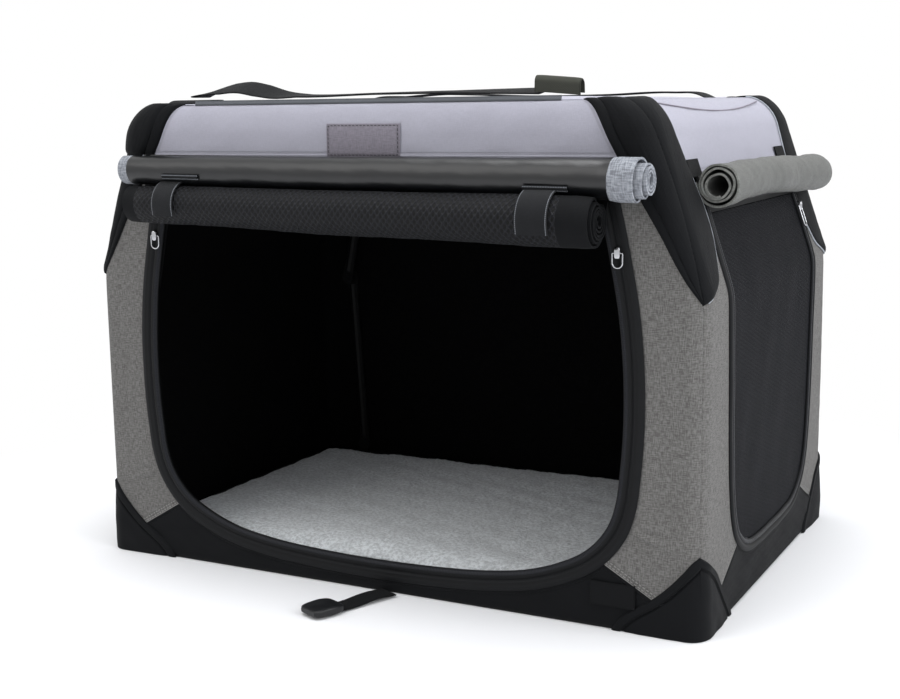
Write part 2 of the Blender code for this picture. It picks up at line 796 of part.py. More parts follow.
# Rolled panels

def roll_loop(radius, tail):
    """Outline of a sheet that runs down a wall at +u and winds into a roll centred on the origin."""
    turns = (radius - ROLL_CORE_R) / ROLL_PITCH
    outer, inner = [(radius, tail)], [(radius - ROLL_SHEET_T, tail)]
    for k in range(int(turns * ROLL_SEGMENTS) + 1):
        turn = 2 * math.pi * k / ROLL_SEGMENTS
        far = radius - ROLL_PITCH * k / ROLL_SEGMENTS
        near = far - ROLL_SHEET_T
        outer.append((far * math.cos(turn), -far * math.sin(turn)))
        inner.append((near * math.cos(turn), -near * math.sin(turn)))
    return list(reversed(outer)) + inner


def front_roll(name, radius, z, left, right, tail, proud, look):
    """Panel rolled up along the top of the front doorway, just off the piece that stands out by proud."""
    y = -(CRATE_D / 2 + proud + GAP + radius)
    loop = [(y + u, z + w) for u, w in roll_loop(radius, tail)]
    prism(name, [loop], "X", left, right, look)


def side_roll():
    """Shade rolled up above the mesh door of the right end; it leans with the wall."""
    slope = math.atan2(END_SLOPE_INSET, CRATE_H - BEND_Z)
    foot = cover_point(1, 0, SIDE_ROLL_Z, 0)
    off = PATCH_PROUD + GAP + SIDE_ROLL_R
    cx, cz = foot[0] + off * math.cos(slope), foot[2] + off * math.sin(slope)
    loop = []
    for u, w in roll_loop(SIDE_ROLL_R, SIDE_ROLL_R / 2):
        x, z = -u * math.cos(slope) - w * math.sin(slope), -u * math.sin(slope) + w * math.cos(slope)
        loop.append((cx + x, cz + z))
    prism("side_shade_roll", [loop], "Y", SIDE_ROLL_Y0, SIDE_ROLL_Y1, "shade_cloth")


def roll_strap(name, x):
    """Strap that follows the outer turn of the mesh roll round its front, hinged at its sewn upper end."""
    y = -(CRATE_D / 2 + BINDING_PROUD + GAP + MESH_ROLL_R)
    first, last = round(ROLL_STRAP_TOP_SHARE * ROLL_SEGMENTS), round(ROLL_STRAP_END_SHARE * ROLL_SEGMENTS)
    inner, outer = [], []
    for k in range(first, last - 1, -1):
        turn = 2 * math.pi * k / ROLL_SEGMENTS
        near = MESH_ROLL_R - ROLL_PITCH * k / ROLL_SEGMENTS + GAP
        far = near + ROLL_STRAP_T
        inner.append((y + near * math.cos(turn), MESH_ROLL_Z - near * math.sin(turn)))
        outer.append((y + far * math.cos(turn), MESH_ROLL_Z - far * math.sin(turn)))
    hinge = (x, (inner[0][0] + outer[0][0]) / 2, (inner[0][1] + outer[0][1]) / 2)
    loop = outer + list(reversed(inner))
    prism(name, [loop], "X", x - ROLL_STRAP_W / 2, x + ROLL_STRAP_W / 2, "black_webbing", hinge)


def rolls():
    """The three rolled panels and the two straps of the mesh roll."""
    front_roll("front_shade_roll", UPPER_ROLL_R, UPPER_ROLL_Z, UPPER_ROLL_LEFT, UPPER_ROLL_RIGHT,
               LIGHT_LOW_Z - GAP - UPPER_ROLL_Z, PATCH_PROUD, "coated_cloth")
    front_roll("front_mesh_roll", MESH_ROLL_R, MESH_ROLL_Z, MESH_ROLL_LEFT, MESH_ROLL_RIGHT,
               MESH_ROLL_R, BINDING_PROUD, "mesh_cloth")
    side_roll()
    roll_strap("roll_strap_left", ROLL_STRAP_LEFT_X)
    roll_strap("roll_strap_right", ROLL_STRAP_RIGHT_X)


# Steel frame

def fold_points():
    """Pivots of the right-hand leg chain: the foot B, the elbow E and the top T."""
    reach = math.hypot(PIVOT_B_X - PIVOT_T_X, PIVOT_T_Z - PIVOT_B_Z)
    total, spare = reach + OVER_CENTRE_RISE, PIVOT_B_X - PIVOT_T_X
    lower, upper = (total + spare) / 2, (total - spare) / 2
    inner = math.acos((lower ** 2 + reach ** 2 - upper ** 2) / (2 * lower * reach))
    lean = math.atan2(spare, PIVOT_T_Z - PIVOT_B_Z) - inner
    elbow = (PIVOT_B_X - lower * math.sin(lean), PIVOT_B_Z + lower * math.cos(lean))
    return {"B": (PIVOT_B_X, PIVOT_B_Z), "E": elbow, "T": (PIVOT_T_X, PIVOT_T_Z)}


def pivot(key, sx, y=0):
    """Point of a fold axis on the left (-1) or the right (+1)."""
    x, z = fold_points()[key]
    return (sx * x, y, z)


def eye_outline(eye, root, eye_r, root_r):
    """Outline of a flat link from an eye to its root."""
    return hull(circle(*eye, eye_r, 2 * ROUND_SIDES) + circle(*root, root_r, 2 * ROUND_SIDES))


def y_span(sy, near, far):
    """Orders two distances from the middle plane for one side of the crate."""
    return sorted((sy * near, sy * far))


def pin(name, at, sy, near, far, radius):
    """Round bar along Y between two distances from the middle plane."""
    low, high = y_span(sy, near, far)
    return prism(name, [circle(*at, radius)], "Y", low, high, "black_steel")


def toward(a, b, distance):
    """Point at a distance from a on the line to b."""
    span = math.hypot(b[0] - a[0], b[1] - a[1])
    return (a[0] + (b[0] - a[0]) * distance / span, a[1] + (b[1] - a[1]) * distance / span)


def blade(eye, other, sy, lane, length, hole):
    """Flattened end of a leg, with or without a bore."""
    loops = [eye_outline(eye, toward(eye, other, length), BLADE_R, BLADE_NECK_R)]
    if hole:
        loops.append(circle(*eye, PIN_R + PIN_CLEAR))
    low, high = y_span(sy, lane - BLADE_T / 2, lane + BLADE_T / 2)
    return prism("blade", loops, "Y", low, high, "black_steel")


def leg(name, foot, head, sy, lane, holes, long_head, studs):
    """Straight leg of steel tube with a flattened end at each pivot."""
    start = toward(foot, head, TUBE_START)
    end = toward(head, foot, LONG_TUBE_START if long_head else TUBE_START)
    path = [(start[0], sy * lane, start[1]), (end[0], sy * lane, end[1])]
    verts, walls = tube_mesh(path, TUBE_R, (0, 1, 0), False)
    origin = (foot[0], sy * lane, foot[1])
    body = add_object(name, verts, walls, "black_steel", origin, True)
    lower = blade(foot, head, sy, lane, BLADE_LEN, holes[0])
    upper = blade(head, foot, sy, lane, LONG_BLADE_LEN if long_head else BLADE_LEN, holes[1])
    return unite(body, [lower, upper] + studs)


def legs(side, sx, depth, sy):
    """Lower and upper leg of one corner; the elbow rivet is part of the lower leg."""
    points = {key: (sx * x, z) for key, (x, z) in fold_points().items()}
    inner_face = UPPER_LANE_Y - BLADE_T / 2 - GAP
    collar = pin("collar", points["E"], sy, LOWER_LANE_Y - GAP, UPPER_LANE_Y + BLADE_T / 2 + GAP, COLLAR_R)
    rivet = pin("rivet", points["E"], sy, LOWER_LANE_Y - GAP, inner_face - GAP, PIN_R)
    head = pin("head", points["E"], sy, inner_face, inner_face - HEAD_T, HEAD_R)
    leg(f"{side}_lower_leg_{depth}", points["B"], points["E"], sy, LOWER_LANE_Y, (True, False), False,
        [collar, rivet, head])
    studs = []
    if sx > 0:
        lug_inner = UPPER_LANE_Y - BLADE_T / 2 - LUG_GAP - LUG_T - GAP
        studs.append(pin("rivet", points["T"], sy, UPPER_LANE_Y, lug_inner - GAP, PIN_R))
        studs.append(pin("head", points["T"], sy, lug_inner, lug_inner - HEAD_T, HEAD_R))
    leg(f"{side}_upper_leg_{depth}", points["E"], points["T"], sy, UPPER_LANE_Y, (True, sx < 0), True, studs)


def base_lugs(sx, sy):
    """Hinge lug on the base ring, with the pin that carries a lower leg."""
    eye, root = (sx * PIVOT_B_X, PIVOT_B_Z), (sx * PIVOT_B_X, BASE_RING_Z)
    far = LOWER_LANE_Y - BLADE_T / 2 - LUG_GAP
    low, high = y_span(sy, far - LUG_T, far)
    lug = prism("lug", [eye_outline(eye, root, BLADE_R, LUG_ROOT_R)], "Y", low, high, "black_steel")
    outer = LOWER_LANE_Y + BLADE_T / 2 + GAP
    return [lug, pin("pin", eye, sy, far - GAP, outer + GAP, PIN_R), pin("head", eye, sy, outer, outer + HEAD_T, HEAD_R)]


def top_lugs(sx, sy):
    """Hinge lug under the top ring: with a pin on the left and with a slot on the right."""
    eye, root = (sx * PIVOT_T_X, PIVOT_T_Z), (sx * TOP_LUG_ROOT_X, TOP_RING_Z)
    far = UPPER_LANE_Y - BLADE_T / 2 - LUG_GAP
    low, high = y_span(sy, far - LUG_T, far)
    if sx < 0:
        lug = prism("lug", [eye_outline(eye, root, BLADE_R, LUG_ROOT_R)], "Y", low, high, "black_steel")
        outer = UPPER_LANE_Y + BLADE_T / 2 + GAP
        return [lug, pin("pin", eye, sy, far - GAP, outer + GAP, PIN_R),
                pin("head", eye, sy, outer, outer + HEAD_T, HEAD_R)]
    ends = [(eye[0] - SLOT_HALF, eye[1]), (eye[0] + SLOT_HALF, eye[1])]
    body = [p for end in ends for p in circle(*end, BLADE_R, 2 * ROUND_SIDES)]
    body += circle(*root, LUG_ROOT_R, 2 * ROUND_SIDES)
    slot = [p for end in ends for p in circle(*end, PIN_R + PIN_CLEAR)]
    return [prism("lug", [hull(body), hull(slot)], "Y", low, high, "black_steel")]


def ring(name, half_x, half_y, radius, z, origin, tools):
    """Closed ring of bent steel tube with its hinge lugs."""
    path = [(x, y, z) for x, y in rounded_box(half_x, half_y, radius, BEND_STEPS)]
    verts, walls = tube_mesh(path, TUBE_R, (0, 0, 1), True)
    body = add_object(name, verts, walls, "black_steel", origin, True)
    return unite(body, tools)


def frame():
    """Base ring, top ring and the four folding leg chains."""
    ends = [(sx, sy) for sx in (-1, 1) for sy in (-1, 1)]
    base = [tool for sx, sy in ends for tool in base_lugs(sx, sy)]
    ring("base_ring", BASE_RING_X, BASE_RING_Y, BASE_RING_R, BASE_RING_Z, (0, 0, 0), base)
    top = [tool for sx, sy in ends for tool in top_lugs(sx, sy)]
    ring("top_ring", TOP_RING_X, TOP_RING_Y, TOP_RING_R, TOP_RING_Z, pivot("T", -1), top)
    for side, sx in (("left", -1), ("right", 1)):
        for depth, sy in (("front", -1), ("back", 1)):
            legs(side, sx, depth, sy)


# Small pieces on the cover

def rectangle(cx, cz, width, height):
    """Counter-clockwise rectangle."""
    return [(cx - width / 2, cz - height / 2), (cx + width / 2, cz - height / 2),
            (cx + width / 2, cz + height / 2), (cx - width / 2, cz + height / 2)]


def patches_of_cloth():
    """Bare label on the light panel and the hook patch near the right boot."""
    label = [rectangle(LABEL_X, LABEL_Z, LABEL_W, LABEL_H)]
    face_piece("label_patch", 0, label, -GAP - LABEL_T, -GAP, "label_cloth")
    hook = [rectangle(HOOK_X, HOOK_Z, HOOK_W, HOOK_H)]
    face_piece("hook_patch", 0, hook, -GAP - HOOK_T, -GAP, "black_webbing")


def slider_loops():
    """Profile of a zip slider: a base along w with an eye on its outer side at -u."""
    eye_u = -(SLIDER_BASE_T + SLIDER_EYE_H / 3)
    half, neck = SLIDER_L / 2, SLIDER_EYE_R
    arc = []
    for k in range(ROUND_SIDES // 2 + 1):
        turn = math.pi / 2 + math.pi * k / (ROUND_SIDES // 2)
        arc.append((eye_u + neck * math.cos(turn), neck * math.sin(turn)))
    body = [(0, -half), (0, half), (-SLIDER_BASE_T, half), (-SLIDER_BASE_T, neck)] + arc[0:]
    body += [(-SLIDER_BASE_T, -neck), (-SLIDER_BASE_T, -half)]
    return [body, circle(eye_u, 0, SLIDER_BORE_R)], eye_u


def pull_path(width, length, eye_u):
    """Closed wire loop that hangs from the eye of a slider."""
    half = width / 2
    points = [(-half, eye_u, 0), (half, eye_u, 0)]
    for k in range(7):
        turn = math.pi * k / 6
        points.append((half * math.cos(turn), eye_u, -(length - half) - half * math.sin(turn)))
    return points


def turned(points, heading, tilt, at):
    """Turns local points (outer side at -Y, up +Z) to a face of the cover and moves them to a place."""
    ch, sh, ct, st = math.cos(heading), math.sin(heading), math.cos(tilt), math.sin(tilt)
    out = []
    for x, y, z in points:
        y, z = y * ct + z * st, z * ct - y * st
        x, y = x * ch - y * sh, x * sh + y * ch
        out.append((at[0] + x, at[1] + y, at[2] + z))
    return out


def slider_and_pull(name, heading, tilt, at, pull_length):
    """Zip slider at a place on a binding, with the pull that hangs in its eye."""
    loops, eye_u = slider_loops()
    verts, walls = prism_mesh(loops, "X", -SLIDER_W / 2, SLIDER_W / 2)
    add_object(name + "_slider", turned(verts, heading, tilt, at), walls, "black_plastic", at)
    path = pull_path(RING_PULL_W, pull_length, eye_u)
    verts, walls = tube_mesh(path, WIRE_R, (0, 1, 0), True, WIRE_SIDES)
    axis = turned([(0, eye_u, 0)], heading, tilt, at)[0]
    add_object(name + "_pull", turned(verts, heading, tilt, at), walls, "bright_metal", axis, True)


def sliders():
    """Two sliders on the front zip and one on the zip of the right end."""
    out = BINDING_PROUD + GAP
    y = -CRATE_D / 2 - out
    slider_and_pull("front_left", 0, 0, (-FRONT_SLIDER_X, y, FRONT_SLIDER_Z), RING_PULL_L)
    slider_and_pull("front_right", 0, 0, (FRONT_SLIDER_X, y, FRONT_SLIDER_Z), RING_PULL_L)
    tilt = math.atan2(END_SLOPE_INSET, CRATE_H - BEND_Z)
    along = SIDE_HALF_W - SIDE_BINDING_W / 2
    foot = cover_point(1, along, SIDE_SLIDER_Z, 0)
    at = (foot[0] + out * math.cos(tilt), foot[1], foot[2] + out * math.sin(tilt))
    slider_and_pull("side", math.pi / 2, tilt, at, TAB_PULL_L)


def ribbon(path, thickness):
    """Closed outline round an open path."""
    left, right = [], []
    for k, (x, z) in enumerate(path):
        ax, az = path[max(k - 1, 0)]
        bx, bz = path[min(k + 1, len(path) - 1)]
        span = math.hypot(bx - ax, bz - az)
        nx, nz = -(bz - az) / span * thickness / 2, (bx - ax) / span * thickness / 2
        left.append((x + nx, z + nz))
        right.append((x - nx, z - nz))
    return right + list(reversed(left))


def handle(name, sy):
    """Webbing handle sewn to the roof by its two ends, with two humps."""
    reach = HANDLE_X + HANDLE_TAB / 2
    seat = roof_z(HANDLE_X - HANDLE_TAB / 2, HANDLE_Y - HANDLE_W / 2)
    low = seat + GAP + HANDLE_T / 2
    left = [(-reach * (1 - u), low + HANDLE_RISE * w) for u, w in HANDLE_RISE_SHARES]
    path = left + [(-x, z) for x, z in reversed(left[:-1])]
    near, far = y_span(sy, HANDLE_Y - HANDLE_W / 2, HANDLE_Y + HANDLE_W / 2)
    origin = (0, sy * (HANDLE_Y + HANDLE_W / 2), low)
    prism(name, [ribbon(path, HANDLE_T)], "Y", near, far, "webbing", origin)


def box_tool(x, y, z, width, length, height):
    """Box by its middle and its sizes, used to cut."""
    loop = [(a + x, b + y) for a, b in rectangle(0, 0, width, length)]
    return prism("tool", [loop], "Z", z - height / 2, z + height / 2, "black_plastic")


def closure(name, sy, x, skew):
    """Closure strap on the floor in front of or behind the crate, with its half of the buckle."""
    root = (x, sy * (CRATE_D / 2 + 2 * GAP + STRAP_W / 2 * abs(math.sin(skew))), STRAP_Z + STRAP_T / 2)
    verts, walls = prism_mesh([rectangle(0, -STRAP_L / 2, STRAP_W, STRAP_L)], "Z", -STRAP_T / 2, STRAP_T / 2)
    heading = skew if sy < 0 else math.pi + skew
    hinge = (x, sy * (CRATE_D / 2 + 4 * GAP), root[2])
    add_object(name + "_strap", turned(verts, heading, 0, root), walls, "black_webbing", hinge)
    body = buckle_socket() if sy < 0 else buckle_plug()
    body.name = name + "_buckle_socket" if sy < 0 else name + "_buckle_plug"
    points = turned([tuple(v.co) for v in body.data.vertices], heading, 0, root)
    for vert, point in zip(body.data.vertices, points):
        vert.co = Vector(point) - Vector(hinge)
    body.location = hinge


def chamfered(width, length, cut):
    """Counter-clockwise rectangle with cut corners, from y = 0 towards -y."""
    half = width / 2
    return [(-half, -length + cut), (-half + cut, -length), (half - cut, -length), (half, -length + cut),
            (half, -cut), (half - cut, 0), (-half + cut, 0), (-half, -cut)]


def buckle_body(length):
    """Flat body of a buckle half at the end of its strap, with the slot that the strap enters."""
    start = STRAP_L - PRONG_L / 3
    loop = [(x, y - start) for x, y in chamfered(BUCKLE_W, length, BUCKLE_CHAMFER)]
    low = -STRAP_Z - STRAP_T / 2 + GAP
    body = prism("body", [loop], "Z", low, low + BUCKLE_T, "black_plastic")
    depth = PRONG_L / 3 + GAP
    slot = box_tool(0, -start - depth / 2 + GAP, 0, STRAP_W + 4 * GAP, depth + 2 * GAP, STRAP_T + 2 * GAP)
    boolean(body, slot, "DIFFERENCE")
    return body, start, low + BUCKLE_T / 2


def buckle_socket():
    """Female half: a flat box that is open at its end and at the middle of both sides."""
    body, start, middle = buckle_body(BUCKLE_L)
    mouth_l = BUCKLE_L - PRONG_L / 2
    y = -start - BUCKLE_L + mouth_l / 2 - GAP
    mouth = box_tool(0, y, middle, BUCKLE_W - 4 * BUCKLE_WALL, mouth_l, BUCKLE_T - 2 * BUCKLE_WALL)
    boolean(body, mouth, "DIFFERENCE")
    window = box_tool(0, y + mouth_l / 6, middle, BUCKLE_W * 2, mouth_l / 3, BUCKLE_T / 2)
    boolean(body, window, "DIFFERENCE")
    return body


def buckle_plug():
    """Male half: a short body with two prongs and a middle tongue."""
    body, start, middle = buckle_body(PRONG_L)
    tools = []
    for x in (-1, 0, 1):
        y = -start - PRONG_L - PRONG_L / 2 + BUCKLE_CHAMFER / 2
        tools.append(box_tool(x * (BUCKLE_W / 2 - PRONG_W), y, middle, PRONG_W, PRONG_L, BUCKLE_T / 3))
    return unite(body, tools)


def build():
    """Makes every piece of the crate."""
    clear_scene()
    floor_and_mat()
    linings()
    skirt()
    openings_and_panels()
    for name, face in (("front_light_panel", 0), ("right_light_panel", 1), ("back_light_panel", 2),
                       ("left_light_panel", 3)):
        light_panel(name, face)
    corner_pieces()
    roof_panel()
    rolls()
    frame()
    patches_of_cloth()
    sliders()
    handle("front_handle", -1)
    handle("rear_handle", 1)
    closure("front", -1, STRAP_X, -0.40)
    closure("rear", 1, 0, 0)


build()
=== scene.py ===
"""Soft folding dog crate: cloth, zips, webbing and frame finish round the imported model.

Lengths are in metres, +Z is up and the open front faces -Y.
"""
import math

import bmesh
import bpy
import numpy as np
from bpy.props import FloatProperty, FloatVectorProperty, PointerProperty
from bpy.types import Operator, Panel, PropertyGroup
from mathutils import Matrix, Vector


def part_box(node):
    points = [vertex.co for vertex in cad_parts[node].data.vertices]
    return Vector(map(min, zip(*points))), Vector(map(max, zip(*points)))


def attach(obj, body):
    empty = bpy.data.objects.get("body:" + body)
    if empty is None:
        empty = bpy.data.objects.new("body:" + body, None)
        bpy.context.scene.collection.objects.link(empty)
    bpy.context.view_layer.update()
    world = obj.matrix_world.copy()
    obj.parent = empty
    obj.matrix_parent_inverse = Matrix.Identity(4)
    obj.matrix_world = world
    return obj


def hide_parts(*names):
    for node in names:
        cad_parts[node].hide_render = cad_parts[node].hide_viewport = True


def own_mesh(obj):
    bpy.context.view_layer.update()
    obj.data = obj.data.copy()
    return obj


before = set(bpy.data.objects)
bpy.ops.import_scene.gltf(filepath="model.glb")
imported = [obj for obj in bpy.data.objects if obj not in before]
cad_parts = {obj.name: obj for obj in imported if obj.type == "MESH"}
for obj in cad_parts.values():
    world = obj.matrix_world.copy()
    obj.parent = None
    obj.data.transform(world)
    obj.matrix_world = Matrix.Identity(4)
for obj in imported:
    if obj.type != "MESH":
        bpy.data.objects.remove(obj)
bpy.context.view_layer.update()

bl_info = {
    "name": "Soft Folding Dog Crate",
    "version": (1, 0, 0),
    "blender": (4, 5, 0),
    "location": "View3D > Sidebar > Crate",
    "description": "Builds the cloth, zips and webbing of a folding dog crate",
    "category": "Mesh",
}

# Distance within which two points are one, length below which an edge is none, and a guard for divisors
MERGE, SHORTEST, TINY = 2e-6, 1e-7, 1e-9
# Thickness of linings and mesh, of panels, of tapes, of the roof and the boots, and of pads and rolls
THIN, PANEL, TAPE, HEAVY, PADDED = 0.0010, 0.0012, 0.0014, 0.0016, 0.0020

# Outlines as shares of the doorway's half width and top height, from the foot upwards
DOOR_SHARES = np.array((
    (0.0, 0.031), (0.22, 0.034), (0.47, 0.046), (0.62, 0.063), (0.74, 0.090), (0.84, 0.125), (0.91, 0.167),
    (0.96, 0.218), (0.987, 0.275), (1.0, 0.340), (1.0, 0.650), (0.955, 0.824), (0.891, 1.0)))
SIDE_SHARES = np.array((
    (0.0, 0.101), (0.30, 0.103), (0.51, 0.110), (0.68, 0.134), (0.80, 0.170), (0.88, 0.222), (0.925, 0.290),
    (0.953, 0.380), (0.98, 0.560), (1.0, 0.700), (1.0, 0.850), (0.985, 0.935), (0.965, 1.0)))
# Patches as shares of their reach and of the height above their tip, on the long side and on the end
PATCH_FRONT_SHARES = np.array((
    (0.0, 0.0), (0.20, 0.083), (0.33, 0.171), (0.48, 0.311), (0.664, 0.452), (0.905, 0.668), (1.0, 0.786),
    (0.886, 0.923), (0.81, 1.0)))
PATCH_SIDE_SHARES = np.array((
    (0.0, 0.0), (0.30, 0.047), (0.66, 0.108), (0.80, 0.172), (0.90, 0.229), (1.0, 0.336), (0.985, 0.42),
    (0.92, 0.50), (0.82, 0.635), (0.745, 0.727), (0.70, 0.80), (0.69, 0.86), (0.72, 0.93), (0.78, 1.0)))
# Boots as shares of their reach and height, on the long side and on the end, from the tip down
BOOT_FRONT_SHARES = np.array((
    (0.0, 1.0), (0.07, 0.945), (0.18, 0.805), (0.355, 0.600), (0.50, 0.462), (0.73, 0.30), (0.92, 0.13),
    (1.0, 0.0)))
BOOT_SIDE_SHARES = np.array((
    (0.0, 1.0), (0.18, 0.88), (0.39, 0.725), (0.55, 0.545), (0.77, 0.295), (0.95, 0.085), (1.0, 0.0)))


def srgb(code):
    """Linear colour of an sRGB code: c / 12.92 in the dark, else ((c + 0.055) / 1.055) to the power 2.4."""
    parts = [int(code[k:k + 2], 16) / 255 for k in (0, 2, 4)]
    return tuple(c / 12.92 if c <= 0.04045 else ((c + 0.055) / 1.055) ** 2.4 for c in parts)


def length(name, default, note):
    """Length property of the crate."""
    return FloatProperty(name=name, description=note, default=default, unit="LENGTH", precision=4)


def colour(name, code, note):
    """Colour property of the crate."""
    return FloatVectorProperty(name=name, description=note, default=srgb(code), subtype="COLOR", size=3)


class CrateSizes(PropertyGroup):
    """Sizes of the cover and its trim."""
    width: length("Width", 0.700, "Length of the cover along X")
    depth: length("Depth", 0.470, "Depth of the cover along Y")
    height: length("Height", 0.500, "Height of the roof's seam")
    bend: length("Bend", 0.320, "Height above which the ends lean in")
    end_inset: length("End inset", 0.062, "How far each end leans in by the roof")
    shoulder: length("Shoulder", 0.030, "Radius of the shoulder under the roof")
    shoulder_end: length("Shoulder end", 0.0213, "Further inset of the ends over the shoulder")
    low_corner: length("Low corner", 0.018, "Radius of the upright corners")
    front_inset: length("Front inset", 0.010, "Inset of the front and the back over the shoulder")
    shoulder_corner: length("Shoulder corner", 0.018, "Corner radius at the foot of the shoulder")
    roof_corner: length("Roof corner", 0.026, "Corner radius of the roof's seam")
    crown: length("Crown", 0.006, "Rise of the roof in its middle")
    lining_depth: length("Lining depth", 0.0020, "Depth of the black lining under the cover")
    pad: length("Padding", 0.0034, "Rise of the padded channels of the corner patches")
    binding: length("Front binding", 0.0200, "Width of the zip tape and binding of the front doorway")
    side_binding: length("Side binding", 0.0120, "Width of the zip tape and binding of the end openings")
    piping: length("Piping", 0.0011, "Radius of the piping cord")


class CrateColours(PropertyGroup):
    """Colours of the materials."""
    light: colour("Light cloth", "B2B1BD", "Pale lavender grey panels and roof")
    heather: colour("Heather", "777674", "Lighter thread of the corner strips")
    heather_dark: colour("Heather dark", "595755", "Darker thread of the corner strips")
    black: colour("Black cloth", "0D0E10", "Patches, skirt, boots and bindings")
    lining: colour("Lining", "0D0D0E", "Inside of the cabin")
    coated: colour("Coated cloth", "0A0B0D", "Shiny inner side of the rolled front panel")
    shade: colour("Shade", "5E5F5C", "Rolled shade of the right end and the closed shades")
    mesh: colour("Mesh", "141519", "Threads of the mesh")
    fleece: colour("Fleece", "E4E8EA", "Mat")
    webbing: colour("Webbing", "0F1012", "Handles and straps")
    edge: colour("Pale edge", "B9BEC6", "Piping and pale stitching")
    patch: colour("Bare patch", "8A858F", "Stitched patch on the front panel")
    steel: colour("Steel", "0C0D0E", "Powder-coated tubes")
    metal: colour("Plated metal", "B8B9BC", "Zip pulls")
    plastic: colour("Plastic", "151618", "Sliders and buckles")


def sizes():
    """Sizes of the open scene."""
    return bpy.context.scene.crate_sizes


def colours():
    """Colours of the open scene."""
    return bpy.context.scene.crate_colours


# Shader helpers

class Val:
    """A number socket. Python's operators on it add Math nodes."""

    def __init__(self, paint, socket):
        self.paint = paint
        self.socket = socket

    def _math(self, kind, first, second=None, third=None):
        values = [v for v in (first, second, third) if v is not None]
        return self.paint.node("ShaderNodeMath", {"operation": kind}, dict(enumerate(values)))

    def __add__(self, other):
        return self._math("ADD", self, other)

    __radd__ = __add__

    def __sub__(self, other):
        return self._math("SUBTRACT", self, other)

    def __rsub__(self, other):
        return self._math("SUBTRACT", other, self)

    def __mul__(self, other):
        return self._math("MULTIPLY", self, other)

    __rmul__ = __mul__

    def __truediv__(self, other):
        return self._math("DIVIDE", self, other)

    def __abs__(self):
        return self._math("ABSOLUTE", self)

    def __mod__(self, other):
        return self._math("FLOORED_MODULO", self, other)

    def sin(self):
        """Sine of the value."""
        return self._math("SINE", self)

    def root(self):
        """Square root of the value."""
        return self._math("SQRT", self)

    def floor(self):
        """Whole part of the value."""
        return self._math("FLOOR", self)

    def least(self, other):
        """Smaller of two values."""
        return self._math("MINIMUM", self, other)

    def most(self, other):
        """Larger of two values."""
        return self._math("MAXIMUM", self, other)

    def ramp(self, low, high):
        """Smooth step from 0 at low to 1 at high."""
        settings = {"interpolation_type": "SMOOTHSTEP"}
        return self.paint.node("ShaderNodeMapRange", settings, {0: self, 1: low, 2: high, 3: 0.0, 4: 1.0})


class Paint:
    """Builds one material's nodes round a Principled shader."""

    def __init__(self, name):
        self.material = bpy.data.materials.new(name)
        self.material.use_nodes = True
        self.tree = self.material.node_tree
        self.shader = self.tree.nodes["Principled BSDF"]

    def node(self, kind, settings=None, inputs=None, output=0):
        """Adds a node, gives it its settings and then its sockets, and returns one output as a value."""
        made = self.tree.nodes.new(kind)
        for key, value in (settings or {}).items():
            setattr(made, key, value)
        for key, value in (inputs or {}).items():
            self.feed(made.inputs[key], value)
        return Val(self, made.outputs[output])

    def feed(self, socket, value):
        """Links a value to a socket, or sets the socket to a number, vector or colour."""
        if isinstance(value, Val):
            self.tree.links.new(value.socket, socket)
        elif isinstance(value, (tuple, list)) and len(socket.default_value) == 4 and len(value) == 3:
            socket.default_value = (*value, 1.0)
        else:
            socket.default_value = value

    def uv(self, layer="UVMap"):
        """The two coordinates of a UV map and the map as a vector."""
        vector = self.node("ShaderNodeUVMap", {"uv_map": layer})
        x = self.node("ShaderNodeSeparateXYZ", inputs={0: vector})
        y = Val(self, x.socket.node.outputs[1])
        return x, y, vector

    def object_vector(self):
        """Object coordinates."""
        return self.node("ShaderNodeTexCoord", output=3)

    def noise(self, vector, scale, detail=2.0, stretch=(1.0, 1.0, 1.0), rough=0.5):
        """Noise over a vector whose axes are stretched first."""
        moved = self.node("ShaderNodeMapping", inputs={"Vector": vector, "Scale": stretch})
        return self.node("ShaderNodeTexNoise", inputs={
            "Vector": moved, "Scale": scale, "Detail": detail, "Roughness": rough})

    def mix(self, factor, first, second):
        """Mixes two colours."""
        made = self.tree.nodes.new("ShaderNodeMix")
        made.data_type = "RGBA"
        self.feed(made.inputs[0], factor)
        self.feed(made.inputs[6], first)
        self.feed(made.inputs[7], second)
        return Val(self, made.outputs[2])

    def bump(self, height, distance, strength=1.0, under=None):
        """Bump normal from a height of 0 to 1 that stands for a distance."""
        inputs = {"Height": height, "Distance": distance, "Strength": strength}
        if under:
            inputs["Normal"] = under
        return self.node("ShaderNodeBump", inputs=inputs)

    def finish(self, base, roughness, normal=None, **extra):
        """Feeds the shader and returns the material; words name other sockets, with _ for a space."""
        self.feed(self.shader.inputs["Base Color"], base)
        self.feed(self.shader.inputs["Roughness"], roughness)
        if normal:
            self.feed(self.shader.inputs["Normal"], normal)
        for key, value in extra.items():
            self.feed(self.shader.inputs[key.replace("_", " ")], value)
        return self.material


def shade_of(code, factor):
    """A colour made darker or lighter."""
    return tuple(min(1.0, c * factor) for c in code)


def weave_height(x, y, pitch):
    """Plain weave: in every second cell the warp's arch shows, else the weft's."""
    across = abs((x * (math.pi / pitch)).sin())
    along = abs((y * (math.pi / pitch)).sin())
    cell = ((x / pitch).floor() + (y / pitch).floor()) % 2.0
    return across * cell + along * (1.0 - cell)


def stitches(paint, offsets, gap=0.0042):
    """Mask of stitch rows at given distances from the seam map's edge: short dashes along the run."""
    edge, run, _ = paint.uv("seam")
    dash = ((run % gap) / gap).ramp(0.24, 0.32) * (1.0 - ((run % gap) / gap).ramp(0.88, 0.96))
    rows = None
    for offset in offsets:
        row = 1.0 - (abs(edge - offset)).ramp(0.00025, 0.00065)
        rows = row if rows is None else rows.most(row)
    return rows * dash


